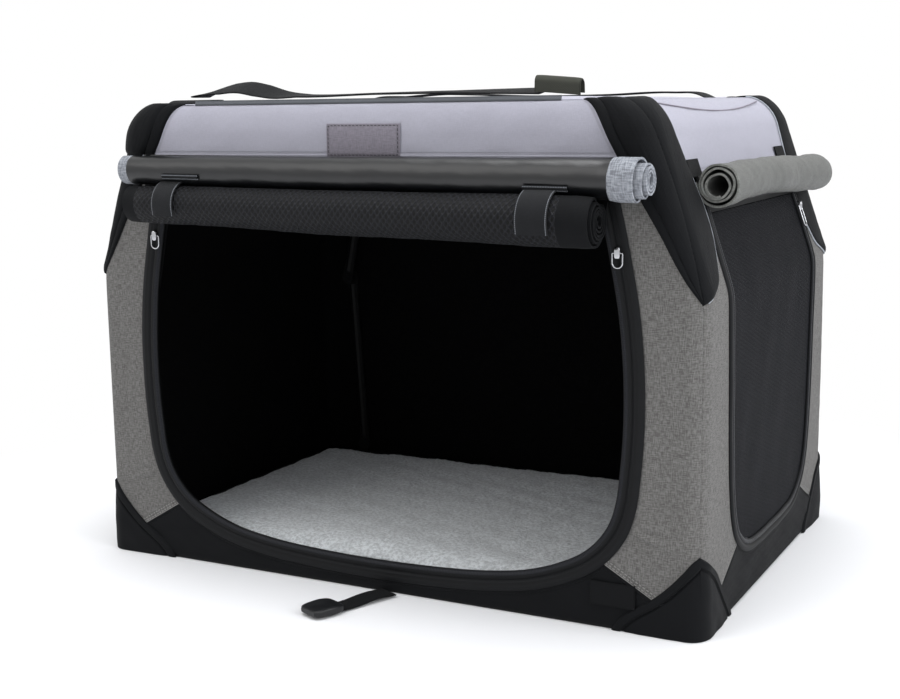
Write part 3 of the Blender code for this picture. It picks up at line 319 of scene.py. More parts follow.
def creases(paint, offsets):
    """Grooves that stitch rows press into the cloth; the callers also darken the colour along them as painted
    shade.
    """
    edge, _, _ = paint.uv("seam")
    grooves = None
    for offset in offsets:
        row = 1.0 - (abs(edge - offset)).ramp(0.0003, 0.0022)
        grooves = row if grooves is None else grooves.most(row)
    return grooves


def woven(name, light, dark, pitch, contrast=0.5, rough=0.88, seams=(), thread=None, sheen=0.05, gloss=0.25,
          edge_line=None):
    """Woven cloth: streaks of two threads along both directions over a plain weave, with stitch rows."""
    paint = Paint(name)
    x, y, vector = paint.uv()
    warp = paint.noise(vector, 1.0, 2.0, (1 / (pitch * 1.3), 1 / (pitch * 8), 1.0))
    weft = paint.noise(vector, 1.0, 2.0, (1 / (pitch * 8), 1 / (pitch * 1.3), 1.0))
    streak = (warp + weft - 1.0) * (contrast * 2.6) + 0.5
    cloud = paint.noise(vector, 26.0, 3.0)
    height = weave_height(x, y, pitch)
    base = paint.mix(streak.ramp(0.0, 1.0), dark, light)
    # Painted shade: the low parts of the weave between the threads are darkened.
    base = paint.mix((1.0 - height) * 0.22, base, shade_of(dark, 0.45))
    base = paint.mix((cloud - 0.5) * 0.5, base, shade_of(dark, 0.8))
    relief = height * 0.7 + warp * 0.3
    if seams:
        groove = creases(paint, seams)
        # Painted shade: the cloth is darkened along the grooves of the stitch rows.
        base = paint.mix(groove * 0.35, base, shade_of(dark, 0.6))
        relief = relief - groove * 1.6
        if thread:
            mark = stitches(paint, seams)
            base = paint.mix(mark * 0.8, base, thread)
            relief = relief + mark * 1.2
    if edge_line:
        edge, _, _ = paint.uv("seam")
        base = paint.mix((1.0 - edge.ramp(0.0004, 0.0010)) * 0.8, base, edge_line)
    normal = paint.bump(relief, pitch * 0.45, 0.8)
    roughness = (cloud * 0.14 + (rough - 0.07)).least(1.0)
    return paint.finish(base, roughness, normal, Sheen_Weight=sheen, Sheen_Roughness=0.5,
                        Specular_IOR_Level=gloss)


def quilted(name, base_colour, seams=(), thread=None):
    """Dense black cloth with a soft sheen, a fine rib and stitch rows."""
    paint = Paint(name)
    x, y, vector = paint.uv()
    grain = paint.noise(vector, 900.0, 2.0)
    cloud = paint.noise(vector, 18.0, 3.0)
    dust = paint.noise(vector, 70.0, 4.0, rough=0.7).ramp(0.60, 0.82)
    rib = abs((x * (math.pi / 0.0011)).sin()) * abs((y * (math.pi / 0.0011)).sin())
    base = paint.mix(cloud * 0.4, base_colour, shade_of(base_colour, 1.5))
    base = paint.mix(dust * 0.07, base, shade_of(base_colour, 5.0))
    relief = rib * 0.5 + grain * 0.5
    if seams:
        groove = creases(paint, seams)
        # Painted shade: the cloth is darkened along the grooves of the stitch rows.
        base = paint.mix(groove * 0.5, base, shade_of(base_colour, 0.4))
        relief = relief - groove * 2.0
        if thread:
            mark = stitches(paint, seams)
            base = paint.mix(mark * 0.55, base, thread)
            relief = relief + mark * 1.5
    normal = paint.bump(relief, 0.0004, 0.7)
    return paint.finish(base, cloud * 0.2 + 0.62, normal, Sheen_Weight=0.02, Sheen_Roughness=0.45,
                        Specular_IOR_Level=0.10)


def coated(name, base_colour):
    """Coated cloth: smooth and slightly shiny, with a fine grain and faint creases."""
    paint = Paint(name)
    _, _, vector = paint.uv()
    grain = paint.noise(vector, 1300.0, 2.0)
    cloud = paint.noise(vector, 9.0, 4.0)
    crease = paint.noise(vector, 22.0, 3.0, (0.35, 1.6, 1.0))
    base = paint.mix(cloud * 0.7, base_colour, shade_of(base_colour, 1.5))
    normal = paint.bump(crease, 0.0012, 0.5)
    normal = paint.bump(grain, 0.00012, 0.5, normal)
    return paint.finish(base, cloud * 0.16 + 0.25, normal, Specular_IOR_Level=0.55)


def spacer_mesh(name, thread_colour, pitch=0.0068, tall=0.0072, hole=0.0014):
    """Knitted spacer mesh: tall holes on a staggered lattice, distance to the nearest centre of two grids."""
    paint = Paint(name)
    x, y, vector = paint.uv()
    nearest = None
    for shift in (0.0, 0.5):
        dx = (x + pitch * shift) % pitch - pitch / 2
        dy = ((y + tall * shift) % tall - tall / 2) * 0.82
        away = (dx * dx + dy * dy).root()
        nearest = away if nearest is None else nearest.least(away)
    rim = nearest.ramp(hole * 0.70, hole * 1.35)
    ridge = nearest.ramp(hole, pitch * 0.42)
    twist = abs((x * (math.pi / 0.0009) + y * (math.pi / 0.0012)).sin())
    cloud = paint.noise(vector, 30.0, 2.0)
    # Painted shade: the holes are coloured near black for the dark inner layers seen through them.
    base = paint.mix(rim, shade_of(thread_colour, 0.05), thread_colour)
    # Painted highlight: the ridges round the holes are lightened.
    base = paint.mix(ridge * rim * (cloud * 0.6 + 0.1), base, shade_of(thread_colour, 2.6))
    base = paint.mix(twist * rim * 0.35, base, shade_of(thread_colour, 0.45))
    normal = paint.bump(ridge * 0.8 + twist * 0.15, 0.0014, 0.9)
    return paint.finish(base, 0.55, normal, Sheen_Weight=0.02, Specular_IOR_Level=0.16)


def knit_mesh(name, thread_colour, pitch=0.0021):
    """Fine window mesh with diagonal rows of small holes; light passes through the holes."""
    paint = Paint(name)
    x, y, vector = paint.uv()
    first = abs(((x + y * 0.55) * (math.pi / pitch)).sin())
    second = abs(((x * 0.55 - y) * (math.pi / (pitch * 1.15))).sin())
    thread = (1.0 - (first * second).ramp(0.30, 0.75))
    cloud = paint.noise(vector, 12.0, 3.0)
    row = abs(((x * 0.35 + y) * (math.pi / (pitch * 2.1))).sin())
    # Painted shade: the holes are coloured dark for the dark cabin behind them, as the alpha lets little
    # light through.
    base = paint.mix(thread, shade_of(thread_colour, 0.25), thread_colour)
    base = paint.mix(row * 0.40 * (cloud * 0.8 + 0.3), base, shade_of(thread_colour, 2.2))
    normal = paint.bump(thread * 0.6 + row * 0.6, 0.0006, 0.8)
    return paint.finish(base, 0.7, normal, Alpha=(thread + 0.80).least(1.0), Sheen_Weight=0.0,
                        Specular_IOR_Level=0.07)


def zip_tape(name, base_colour, teeth_highlight, teeth_at, teeth_half=0.0021, seams=()):
    """Zip tape and binding: ribbed cloth, and a row of coil teeth at a distance from the seam map's edge,
    with painted highlights on the teeth and painted shade between them.
    """
    paint = Paint(name)
    edge, run, _ = paint.uv("seam")
    _, _, vector = paint.uv()
    band = 1.0 - (abs(edge - teeth_at)).ramp(teeth_half * 0.8, teeth_half * 1.1)
    tooth = abs((run * (math.pi / 0.0017)).sin()).ramp(0.25, 0.75)
    rib = abs((edge * (math.pi / 0.0009)).sin())
    cloud = paint.noise(vector, 40.0, 3.0)
    base = paint.mix(cloud * 0.5, base_colour, shade_of(base_colour, 1.6))
    # Painted highlight on the teeth's tops, then painted shade in the gaps between them.
    base = paint.mix(band * tooth * 0.75, base, teeth_highlight)
    base = paint.mix(band * (1.0 - tooth) * 0.8, base, shade_of(base_colour, 0.3))
    groove = creases(paint, seams) if seams else None
    relief = rib * 0.25 * (1.0 - band) + band * tooth
    if groove:
        relief = relief - groove * 0.9
        # Painted shade along the stitch rows' grooves.
        base = paint.mix(groove * 0.5, base, shade_of(base_colour, 0.4))
    normal = paint.bump(relief, 0.0006, 0.8)
    return paint.finish(base, 0.60 - band * tooth * 0.22, normal, Sheen_Weight=0.02, Specular_IOR_Level=0.16)


def webbing(name, base_colour, rib=0.0016):
    """Woven webbing: slanted ribs across the strap and darker selvedges."""
    paint = Paint(name)
    x, y, vector = paint.uv()
    edge, _, _ = paint.uv("seam")
    slant = abs(((x + y * 0.8) * (math.pi / rib)).sin())
    cross = abs(((x - y * 0.8) * (math.pi / rib)).sin())
    cloud = paint.noise(vector, 60.0, 3.0)
    side = 1.0 - edge.ramp(0.0008, 0.0022)
    base = paint.mix((slant * cross).ramp(0.1, 0.8) * 0.6, base_colour, shade_of(base_colour, 1.9))
    base = paint.mix(cloud * 0.3, base, shade_of(base_colour, 0.6))
    base = paint.mix(side * 0.5, base, shade_of(base_colour, 0.5))
    normal = paint.bump(slant * 0.6 + cross * 0.4, 0.0005, 0.8)
    return paint.finish(base, 0.7, normal, Sheen_Weight=0.02, Specular_IOR_Level=0.10)


def fleecy(name, base_colour):
    """Napped fleece: soft tufts in several sizes, with painted shade in the hollows between them and lighter
    tuft tops.
    """
    paint = Paint(name)
    vector = paint.object_vector()
    tuft = paint.noise(vector, 260.0, 4.0, rough=0.65)
    lump = paint.noise(vector, 48.0, 3.0)
    # Painted shade and highlight: the nap is darker in its low parts and lighter on its tufts.
    base = paint.mix(tuft.ramp(0.36, 0.62), shade_of(base_colour, 0.72), shade_of(base_colour, 1.12))
    # Painted shade: the hollows between the lumps are darkened grey.
    base = paint.mix((1.0 - lump.ramp(0.35, 0.65)) * 0.25, base, shade_of(base_colour, 0.6))
    normal = paint.bump(tuft * 0.6 + lump * 0.6, 0.0026, 0.9)
    return paint.finish(base, 0.97, normal, Sheen_Weight=0.5, Sheen_Roughness=0.6)


def rough_strap(name, base_colour, edge_colour):
    """Hook-and-loop strap: rough nap, and a lighter sewn line along each edge."""
    paint = Paint(name)
    _, _, vector = paint.uv()
    edge, run, _ = paint.uv("seam")
    nap = paint.noise(vector, 1500.0, 4.0, rough=0.7)
    cloud = paint.noise(vector, 70.0, 3.0)
    line = 1.0 - (abs(edge - 0.0011)).ramp(0.00025, 0.0006)
    dash = ((run % 0.0016) / 0.0016).ramp(0.15, 0.35)
    base = paint.mix(cloud * nap, base_colour, shade_of(base_colour, 2.4))
    base = paint.mix(line * dash * 0.75, base, edge_colour)
    normal = paint.bump(nap * 0.8 - line * 0.5, 0.0007, 0.9)
    return paint.finish(base, 0.85, normal, Sheen_Weight=0.08, Specular_IOR_Level=0.15)


def hard(name, base_colour, rough, metallic=0.0, grain=700.0, coat=0.0, gloss=0.5):
    """Moulded plastic, plated wire or powder coat: fine grain, and wear that varies the gloss."""
    paint = Paint(name)
    vector = paint.object_vector()
    fine = paint.noise(vector, grain, 3.0)
    wear = paint.noise(vector, 45.0, 4.0).ramp(0.55, 0.75)
    base = paint.mix(wear * 0.25, base_colour, shade_of(base_colour, 1.8))
    normal = paint.bump(fine, 0.0002, 0.4)
    return paint.finish(base, wear * 0.15 + rough, normal, Metallic=metallic, Coat_Weight=coat,
                        Specular_IOR_Level=gloss)


# Finishes by name, filled by make_materials
MATERIALS = {}


def make_materials():
    """Makes each finish of the crate once."""
    MATERIALS.update(cloth_materials(colours()))
    MATERIALS.update(trim_materials(colours()))


def cloth_materials(c):
    """Finishes of the cover, its linings, its rolls and the mat."""
    light, heather, black, shade = tuple(c.light), tuple(c.heather), tuple(c.black), tuple(c.shade)
    return {
        "light": woven("light_cloth", shade_of(light, 1.04), shade_of(light, 0.90), 0.0007, 0.35, 0.86,
                       (0.0035,), shade_of(light, 0.78)),
        # Painted light: the roof's copy of the light cloth is made lighter because it faces the light from
        # above.
        "light_lit_roof": woven("light_cloth_roof", shade_of(light, 1.10), shade_of(light, 0.96), 0.0007, 0.35,
                             0.86, (0.010, 0.012), shade_of(light, 0.80)),
        # Painted highlight: the roof seam's cord is coloured much lighter than the panels for the bright line
        # along the seam.
        "seam_highlight": woven("light_piping_highlight", shade_of(light, 1.30), shade_of(light, 1.1), 0.0007, 0.35, 0.80),
        "heather": woven("heather_cloth", shade_of(heather, 1.10), tuple(c.heather_dark), 0.00075, 0.75, 0.93,
                         (0.0022, 0.0052), shade_of(heather, 1.7), edge_line=shade_of(heather, 1.7)),
        "heather_end": woven("heather_binding", srgb("A9ADB4"), srgb("74777E"), 0.0010, 0.7, 0.92),
        "patch": quilted("padded_cloth", shade_of(black, 1.05)),
        "skirt": quilted("skirt_cloth", black, (0.0040,), shade_of(black, 3.0)),
        "boot": quilted("boot_cloth", shade_of(black, 1.05), (0.0086,), shade_of(black, 3.0)),
        "trim": quilted("black_trim", black),
        "lining": woven("lining_cloth", shade_of(c.lining, 1.2), shade_of(c.lining, 0.6), 0.0013, 0.5, 0.9,
                        sheen=0.0, gloss=0.06),
        "coated": coated("coated_cloth", tuple(c.coated)),
        "side_edge": woven("shade_edge", shade_of(shade, 2.2), shade_of(shade, 1.2), 0.0009, 0.6, 0.8),
        "shade": woven("shade_cloth", shade_of(shade, 1.2), shade_of(shade, 0.75), 0.0008, 0.5, 0.55,
                       gloss=0.4),
        "roll_mesh": spacer_mesh("spacer_mesh", tuple(c.mesh)),
        "window_mesh": knit_mesh("window_mesh", shade_of(c.mesh, 0.8)),
        "fleece": fleecy("fleece", tuple(c.fleece)),
    }


def trim_materials(c):
    """Finishes of the zips, the webbing, the small trim and the hard parts."""
    black, pale, webs = tuple(c.black), tuple(c.edge), tuple(c.webbing)
    return {
        # The teeth's grey, made from the mesh colour, is a painted highlight.
        "front_zip": zip_tape("front_zip_tape", black, shade_of(c.mesh, 3.0), 0.0172, 0.0020,
                              (0.0060, 0.0125)),
        "side_zip": zip_tape("side_zip_tape", black, shade_of(c.mesh, 2.6), 0.0085, 0.0017, (0.0052,)),
        "webbing": webbing("webbing", webs),
        "ribbed": webbing("ribbed_webbing", srgb("3A3B35"), 0.0022),
        # Painted reflection: this strap's bluish grey stands for the sky's sheen on the top edge of black
        # webbing.
        "handle_edge_highlight": webbing("handle_edge_highlight", shade_of(pale, 0.22)),
        "strap": webbing("black_webbing", shade_of(webs, 0.8), 0.0013),
        "rough_strap": rough_strap("hook_and_loop", shade_of(webs, 1.3), shade_of(pale, 0.42)),
        "pale": woven("pale_piping", pale, shade_of(pale, 0.7), 0.0009, 0.5, 0.8),
        "bare_patch": woven("bare_patch", shade_of(c.patch, 1.15), shade_of(c.patch, 0.8), 0.0008, 0.5, 0.85,
                            (0.0022,), shade_of(black, 1.5)),
        "steel": hard("powder_coat", tuple(c.steel), 0.58, gloss=0.2),
        "metal": hard("plated_wire", tuple(c.metal), 0.22, 1.0),
        "plastic": hard("moulded_plastic", tuple(c.plastic), 0.42, gloss=0.35),
    }


# Curves and noise

def smooth_line(points, count):
    """Cubic curve through points: Hermite spans over chord length, then points at even distances."""
    points = np.asarray(points, float)
    span = np.linalg.norm(np.diff(points, axis=0), axis=1)
    knots = np.concatenate([[0.0], np.cumsum(span)])
    slopes = np.gradient(points, knots, axis=0)
    t = np.linspace(0.0, knots[-1], count * 8)
    k = np.clip(np.searchsorted(knots, t, side="right") - 1, 0, len(span) - 1)
    h = span[k][:, None]
    u = ((t - knots[k]) / span[k])[:, None]
    curve = ((2 * u ** 3 - 3 * u ** 2 + 1) * points[k] + (u ** 3 - 2 * u ** 2 + u) * h * slopes[k]
             + (3 * u ** 2 - 2 * u ** 3) * points[k + 1] + (u ** 3 - u ** 2) * h * slopes[k + 1])
    return even_line(curve, count)


def distances(line):
    """Distance along a line at each of its points, from 0 at the first."""
    return np.concatenate([[0.0], np.cumsum(np.linalg.norm(np.diff(line, axis=0), axis=1))])


def even_line(curve, count):
    """Points at even distances along a line."""
    far = distances(curve)
    at = np.linspace(0.0, far[-1], count)
    return np.stack([np.interp(at, far, curve[:, k]) for k in range(curve.shape[1])], 1)


def ripple(u, v, size, seed, layers=6):
    """Soft folds between -1 and 1: a mean of sine waves with seeded directions and phases."""
    rng = np.random.default_rng(seed)
    total = 0.0
    for _ in range(layers):
        a, b = rng.normal(0, 1, 2)
        total = total + np.sin((a * u + b * v) * 2 * math.pi / size + rng.uniform(0, 2 * math.pi))
    return total / layers


def hump(t):
    """Round crown over 0 to 1: the square root of 4 t (1 - t)."""
    return np.sqrt(np.clip(4 * t * (1 - t), 0, 1))


def smooth_step(t):
    """3 t^2 - 2 t^3 between 0 and 1."""
    t = np.clip(t, 0, 1)
    return t * t * (3 - 2 * t)


def squared_off(value, power):
    """A sine or cosine with its size to a power: powers below 1 make a circle boxy."""
    return np.sign(value) * np.abs(value) ** power


class Cover:
    """Outer surface of the standing cover over a face number, a distance along it and a height v.

    Faces 0 to 3 are the front, right, back and left. Up to the shoulder v is the height; there it is the
    arc's length. The ends lean in above the bend, and the corners are circular arcs.
    """
    # Length of a corner's arc over its radius, measured on six chords, and softness of the bend
    ARC = 12 * math.sin(math.pi / 24)
    SOFT = 0.008

    def __init__(self):
        self.s = sizes()
        self.base = self.s.height - self.s.shoulder
        self.top = self.base + self.s.shoulder * math.pi / 2

    def rows(self, v):
        """Height, half width, half depth, corner radius, and how level and how upward outwards is."""
        s = self.s
        turn = np.clip((v - self.base) / s.shoulder, 0, math.pi / 2)
        z = np.where(v < self.base, v, self.base + s.shoulder * np.sin(turn))
        rise = z - s.bend
        slope = s.end_inset / (s.height - s.bend)
        lean = slope * 0.5 * (rise + np.sqrt(rise ** 2 + self.SOFT ** 2))
        ends = lean + s.shoulder_end * (1 - np.cos(turn))
        share = np.clip((v - s.bend) / (self.base - s.bend), 0, 1)
        radius = s.low_corner + (s.shoulder_corner - s.low_corner) * share
        radius = radius + (s.roof_corner - s.shoulder_corner) * turn / (math.pi / 2)
        return (z, s.width / 2 - ends, s.depth / 2 - s.front_inset * (1 - np.cos(turn)), radius,
                np.cos(turn), np.sin(turn))

    def mid(self, face, v):
        """Distance along a face from its middle to the middle of its corner."""
        _, wide, deep, radius, _, _ = self.rows(np.asarray(v, float))
        reach = wide if face % 2 == 0 else deep
        return reach - radius + radius * self.ARC / 2

    def point(self, face, along, v, out=0.0):
        """Points on the surface, moved outwards: straight to the corner, then round its arc and past it."""
        along, v, out = np.broadcast_arrays(np.asarray(along, float), v, out)
        z, wide, deep, radius, level, up = self.rows(v)
        reach, away = (wide, deep) if face % 2 == 0 else (deep, wide)
        flat = reach - radius
        run = np.abs(along) - flat
        phi = np.clip(run / (radius * self.ARC), 0, 1) * math.pi / 2
        past = np.maximum(run - radius * self.ARC, 0)
        ring = radius + out * level
        side = np.where(run <= 0, np.abs(along), flat + ring * np.sin(phi)) * np.sign(along)
        far = np.where(run <= 0, away + out * level, away - radius + ring * np.cos(phi)) - past
        z = z + out * up
        x, y = ((side, -far), (far, side), (-side, far), (-far, -side))[face]
        return np.stack([x, y, z], -1)


# Edges that turn by more degrees than this stay sharp
SHARP_ANGLE = 48


class Cloth:
    """Gathers grids of points into one mesh with a UV map in metres and a seam map of edge and run."""

    def __init__(self):
        self.points, self.quads, self.uvs, self.seams, self.looks = [], [], [], [], []
        self.count = 0

    def grid(self, points, uv, seam=None, look=0, flip=False):
        """Adds one grid of points; flip turns its faces round."""
        rows, cols = points.shape[:2]
        index = np.arange(rows * cols).reshape(rows, cols) + self.count
        quad = np.stack([index[:-1, :-1], index[:-1, 1:], index[1:, 1:], index[1:, :-1]], -1).reshape(-1, 4)
        if flip:
            quad = quad[:, ::-1]
        self.points.append(points.reshape(-1, 3))
        self.uvs.append(uv.reshape(-1, 2))
        self.seams.append((uv if seam is None else seam).reshape(-1, 2))
        self.quads.append(quad)
        shown = np.asarray(look)
        if shown.ndim == 2:
            shown = shown[:rows - 1, :cols - 1].reshape(-1)
        self.looks.append(np.broadcast_to(shown, (len(quad),)).astype(np.int32))
        self.count += rows * cols

    def shell(self, points, uv, thick, seam=None, look=0):
        """Adds a closed sheet: the grid, the grid moved back by the thickness, and the rim between them."""
        seam = uv if seam is None else seam
        inner = points - normals(points) * np.asarray(thick)[..., None]
        self.grid(points, uv, seam, look)
        self.grid(inner, uv, seam, look, True)
        for cut in (np.s_[0:1, :], np.s_[-1:, :]):
            self.rim(points[cut], inner[cut], uv[cut], seam[cut], look, cut)
        for cut in (np.s_[:, 0:1], np.s_[:, -1:]):
            turned = [np.swapaxes(a[cut], 0, 1) for a in (points, inner, uv, seam)]
            self.rim(*turned, look, cut)

    def rim(self, outer, inner, uv, seam, look, cut):
        """Adds the strip between two border lines."""
        shown = 0
        if np.ndim(look) == 2:
            line = look[cut].reshape(-1)
            shown = line[None, :]
        elif np.ndim(look) == 0:
            shown = look
        both = [np.concatenate([a, b], 0) for a, b in ((outer, inner), (uv, uv), (seam, seam))]
        self.grid(*both, shown)

    def make(self, name, looks):
        """Makes the object: doubles merged, faces out, smooth between sharp rims."""
        mesh = bpy.data.meshes.new(name)
        points, quads = np.concatenate(self.points), np.concatenate(self.quads)
        mesh.vertices.add(len(points))
        mesh.vertices.foreach_set("co", points.astype(np.float32).reshape(-1))
        mesh.loops.add(quads.size)
        mesh.loops.foreach_set("vertex_index", quads.astype(np.int32).reshape(-1))
        mesh.polygons.add(len(quads))
        mesh.polygons.foreach_set("loop_start", (np.arange(len(quads)) * 4).astype(np.int32))
        mesh.polygons.foreach_set("material_index", np.concatenate(self.looks))
        mesh.update(calc_edges=True)
        for layer, values in (("UVMap", self.uvs), ("seam", self.seams)):
            flat = np.concatenate(values)[quads.reshape(-1)]
            mesh.uv_layers.new(name=layer).data.foreach_set("uv", flat.astype(np.float32).reshape(-1))
        work = bmesh.new()
        work.from_mesh(mesh)
        bmesh.ops.remove_doubles(work, verts=work.verts, dist=MERGE)
        bmesh.ops.dissolve_degenerate(work, edges=work.edges, dist=SHORTEST)
        bmesh.ops.recalc_face_normals(work, faces=work.faces)
        work.to_mesh(mesh)
        work.free()
        for look in looks:
            mesh.materials.append(MATERIALS[look])
        mesh.shade_smooth()
        mesh.set_sharp_from_angle(angle=math.radians(SHARP_ANGLE))
        made = bpy.data.objects.new(name, mesh)
        bpy.context.scene.collection.objects.link(made)
        return made


def normals(points):
    """Unit normals of a grid from the cross product of its two directions, or none where it has no area."""
    least = 1e-14
    cross = np.cross(np.gradient(points, axis=1), np.gradient(points, axis=0))
    size = np.linalg.norm(cross, axis=-1, keepdims=True)
    return np.where(size > least, cross / np.maximum(size, least), 0.0)


def place(made, body, nodes=(), squash=True):
    """Hangs a piece on its body and hides the nodes that it stands for; with squash it first gets a mesh of
    its own.
    """
    if squash:
        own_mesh(made)
    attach(made, body)
    if nodes:
        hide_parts(*nodes)
    return made


# Share of its flat box that a ribbon fills, and the most that any sheet fills
RIBBON_FILL, FULLEST = 0.9, 0.999


def cloth_sheet(made, grids, flat=None):
    """Measures a sheet's grids, its longest row and column and its area, and a ribbon's width from its area;
    returns the piece unchanged.
    """
    wide = tall = area = 0.0
    for grid in grids:
        over, down = np.diff(grid, axis=1), np.diff(grid, axis=0)
        wide = wide + np.linalg.norm(over, axis=-1).sum(1).max()
        tall = max(tall, np.linalg.norm(down, axis=-1).sum(0).max())
        first = np.cross(over[:-1], down[:, :-1])
        second = np.cross(over[1:], down[:, 1:])
        area = area + (np.linalg.norm(first, axis=-1).sum() + np.linalg.norm(second, axis=-1).sum()) / 2
    if flat == "ribbon":
        flat = (float(wide), float(area) / (RIBBON_FILL * float(wide)))
    wide, tall = flat or (float(wide), float(tall))
    return made


def lattice(rows, cols):
    """Two grids of shares from 0 to 1: t down the rows and s along the columns."""
    return np.meshgrid(np.linspace(0, 1, rows), np.linspace(0, 1, cols), indexing="ij")


def pair(first, second):
    """Stacks two grids into one grid of coordinates."""
    return np.stack(np.broadcast_arrays(first, second), -1)


# Outlines of the cover's pieces; pairs of values are for the long sides and for the ends

DOOR_TOP, SIDE_TOP = 0.4465, 0.4295
# Height of the mesh door's upper hem
FLAP_TOP = 0.3934
# Each opening's shares, half width and top
OPENINGS = ((DOOR_SHARES, 0.288, DOOR_TOP), (SIDE_SHARES, 0.167, SIDE_TOP))
LINE_POINTS = 240
# Skirt's top by the corners, height at which its slanted seam starts, and how far along the seam ends
SKIRT_TOP, SEAM_RISE = 0.034, 0.066
SEAM_ENDS = (0.302, 0.183)
LIGHT_FEET = (0.4472, 0.4302)
# Height of the patches' tip, and each patch's shares and reach
PATCH_TIP = 0.316
PATCHES = ((PATCH_FRONT_SHARES, 0.0420), (PATCH_SIDE_SHARES, 0.0645))
BOOT_TIP, BOOT_REACH = 0.081, 0.086
BOOTS = (BOOT_FRONT_SHARES, BOOT_SIDE_SHARES)
# Width of the binding round a boot
BOOT_BAND = 0.0086
# Height at which the skirt starts, and the inner walls
SKIRT_FOOT, LINING_FOOT = 0.0032, 0.0043
# Bulge of the left patches: from one height to another, and how far it stands out
LEFT_BULGE = (0.4500, 0.5060, 0.0058)
# Corners by number, name, and 1 where the face of that number is a long side or -1 where it is an end
CORNERS = ((0, "front_right", 1), (1, "back_right", -1), (2, "back_left", 1), (3, "front_left", -1))


def opening_line(face):
    """Outer edge of an opening from its top left round its foot to its top right, as (along, v)."""
    shares, half, top = OPENINGS[face % 2]
    right = shares * (half, top)
    left = right[:0:-1] * (-1, 1)
    return smooth_line(np.concatenate([left, right]), LINE_POINTS)


def opening_loop(face, across=60):
    """The opening's closed outer edge: the line round the foot, then straight back along its top."""
    line = opening_line(face)
    share = np.linspace(0, 1, across)[:, None]
    top = line[-1] * (1 - share) + line[0] * share
    return np.concatenate([line, top[1:]])


def opening_edge(face, v):
    """Half width of the opening at heights above its lower curve."""
    line = opening_line(face)
    right = line[line[:, 0] > 0]
    return np.interp(v, right[:, 1], right[:, 0])


def right_half(line):
    """Right side of an opening's line, without the points that don't rise above those before them."""
    right = line[line[:, 0] > 0]
    rises = np.diff(np.maximum.accumulate(right[:, 1])) > 0
    return right[np.concatenate([[True], rises])]


def moved_in(loop, distance):
    """Moves a closed loop inwards along its normals, which point left of its direction."""
    ahead = np.roll(loop[:-1], -1, 0)
    behind = np.roll(loop[:-1], 1, 0)
    way = ahead - behind
    way = way / np.linalg.norm(way, axis=1, keepdims=True)
    normal = np.stack([-way[:, 1], way[:, 0]], 1)
    moved = loop[:-1] + normal * distance
    return np.concatenate([moved, moved[:1]])


def patch_edge(shares, reach, v):
    """Reach of a corner patch from the middle of its corner at a height."""
    tall = Cover().top - PATCH_TIP
    line = smooth_line(shares * (reach, tall) + (0, PATCH_TIP), 160)
    return np.interp(v, line[:, 1], line[:, 0])


def foot_line(face):
    """Right half of an opening's foot, up to where the skirt's slanted seam starts."""
    line = opening_line(face)
    return line[(line[:, 0] >= 0) & (line[:, 1] <= SEAM_RISE)]


def skirt_line(face, along):
    """Top edge of the skirt: the opening's foot, a slanted seam, then level to the corner."""
    foot = foot_line(face)
    xs = np.concatenate([foot[:, 0], [SEAM_ENDS[face % 2], 1.0]])
    zs = np.concatenate([foot[:, 1], [SKIRT_TOP, SKIRT_TOP]])
    return np.interp(np.abs(along), xs, zs)


def seam_start(face):
    """Point of the opening's edge from which the slanted seam runs down to the skirt's corner."""
    return foot_line(face)[-1]


# Builders of the cover's pieces

def light_panel(face, name, node):
    """Upper panel between two corner patches: straight lines across, slack between its hems."""
    cover = Cover()
    t, s = lattice(90, 220)
    low = LIGHT_FEET[face % 2]
    v = low + (cover.top - low) * t
    half = cover.mid(face, v) - patch_edge(*PATCHES[face % 2], v)
    along = half * (2 * s - 1)
    away = np.minimum(half - np.abs(along), np.minimum(v - low, cover.top - v))
    slack = smooth_step(away / 0.02)
    folds = ripple(along, v, 0.16, 3 + face) * 0.0010 + ripple(along, v, 0.05, 13 + face) * 0.0003
    out = folds * slack - 0.0006 * slack
    out = out + 0.0004 * (1 - smooth_step(np.abs(away - 0.0018) / 0.0014))
    grid = cover.point(face, along, v, out)
    made = Cloth()
    made.shell(grid, pair(along, v), PANEL, pair(away, along + v))
    panel = cloth_sheet(place(made.make(name, ["light"]), "base", [node]), [grid])
    panel_seam(face, name, half[-1, 0] - 0.001)
    return panel


def panel_seam(face, name, reach):
    """Cord in a light panel's upper seam: straight on the long sides, a sagging parabola on the ends."""
    cover = Cover()
    across = np.linspace(-1, 1, 120) * reach
    if face % 2:
        line = cover.point(face, across, 0.5010 - 0.0125 * (1 - (across / across[-1]) ** 2), 0.0000)
    else:
        line = cover.point(face, across, cover.top - 0.0012, 0.0004)
    seam = Cloth()
    # On the long sides the cord's light finish is a painted highlight.
    add_tube(seam, line, 0.0007 if face % 2 else 0.0010, 8, look=face % 2)
    place(seam.make(name + "_seam", ["seam_highlight", "bare_patch"]), "base")


def channel_rise(q, edges):
    """Height of sewn channels: a crown between each two neighbouring seams, lower where they are close."""
    rise = np.zeros(np.broadcast(q, edges[0]).shape)
    for a, b in zip(edges, edges[1:]):
        wide = np.maximum(b - a, 1e-6)
        t = (q - a) / wide
        rise = np.maximum(rise, np.where((t > 0) & (t < 1), hump(t) * np.minimum(1, wide / 0.022) ** 0.7, 0))
    return rise


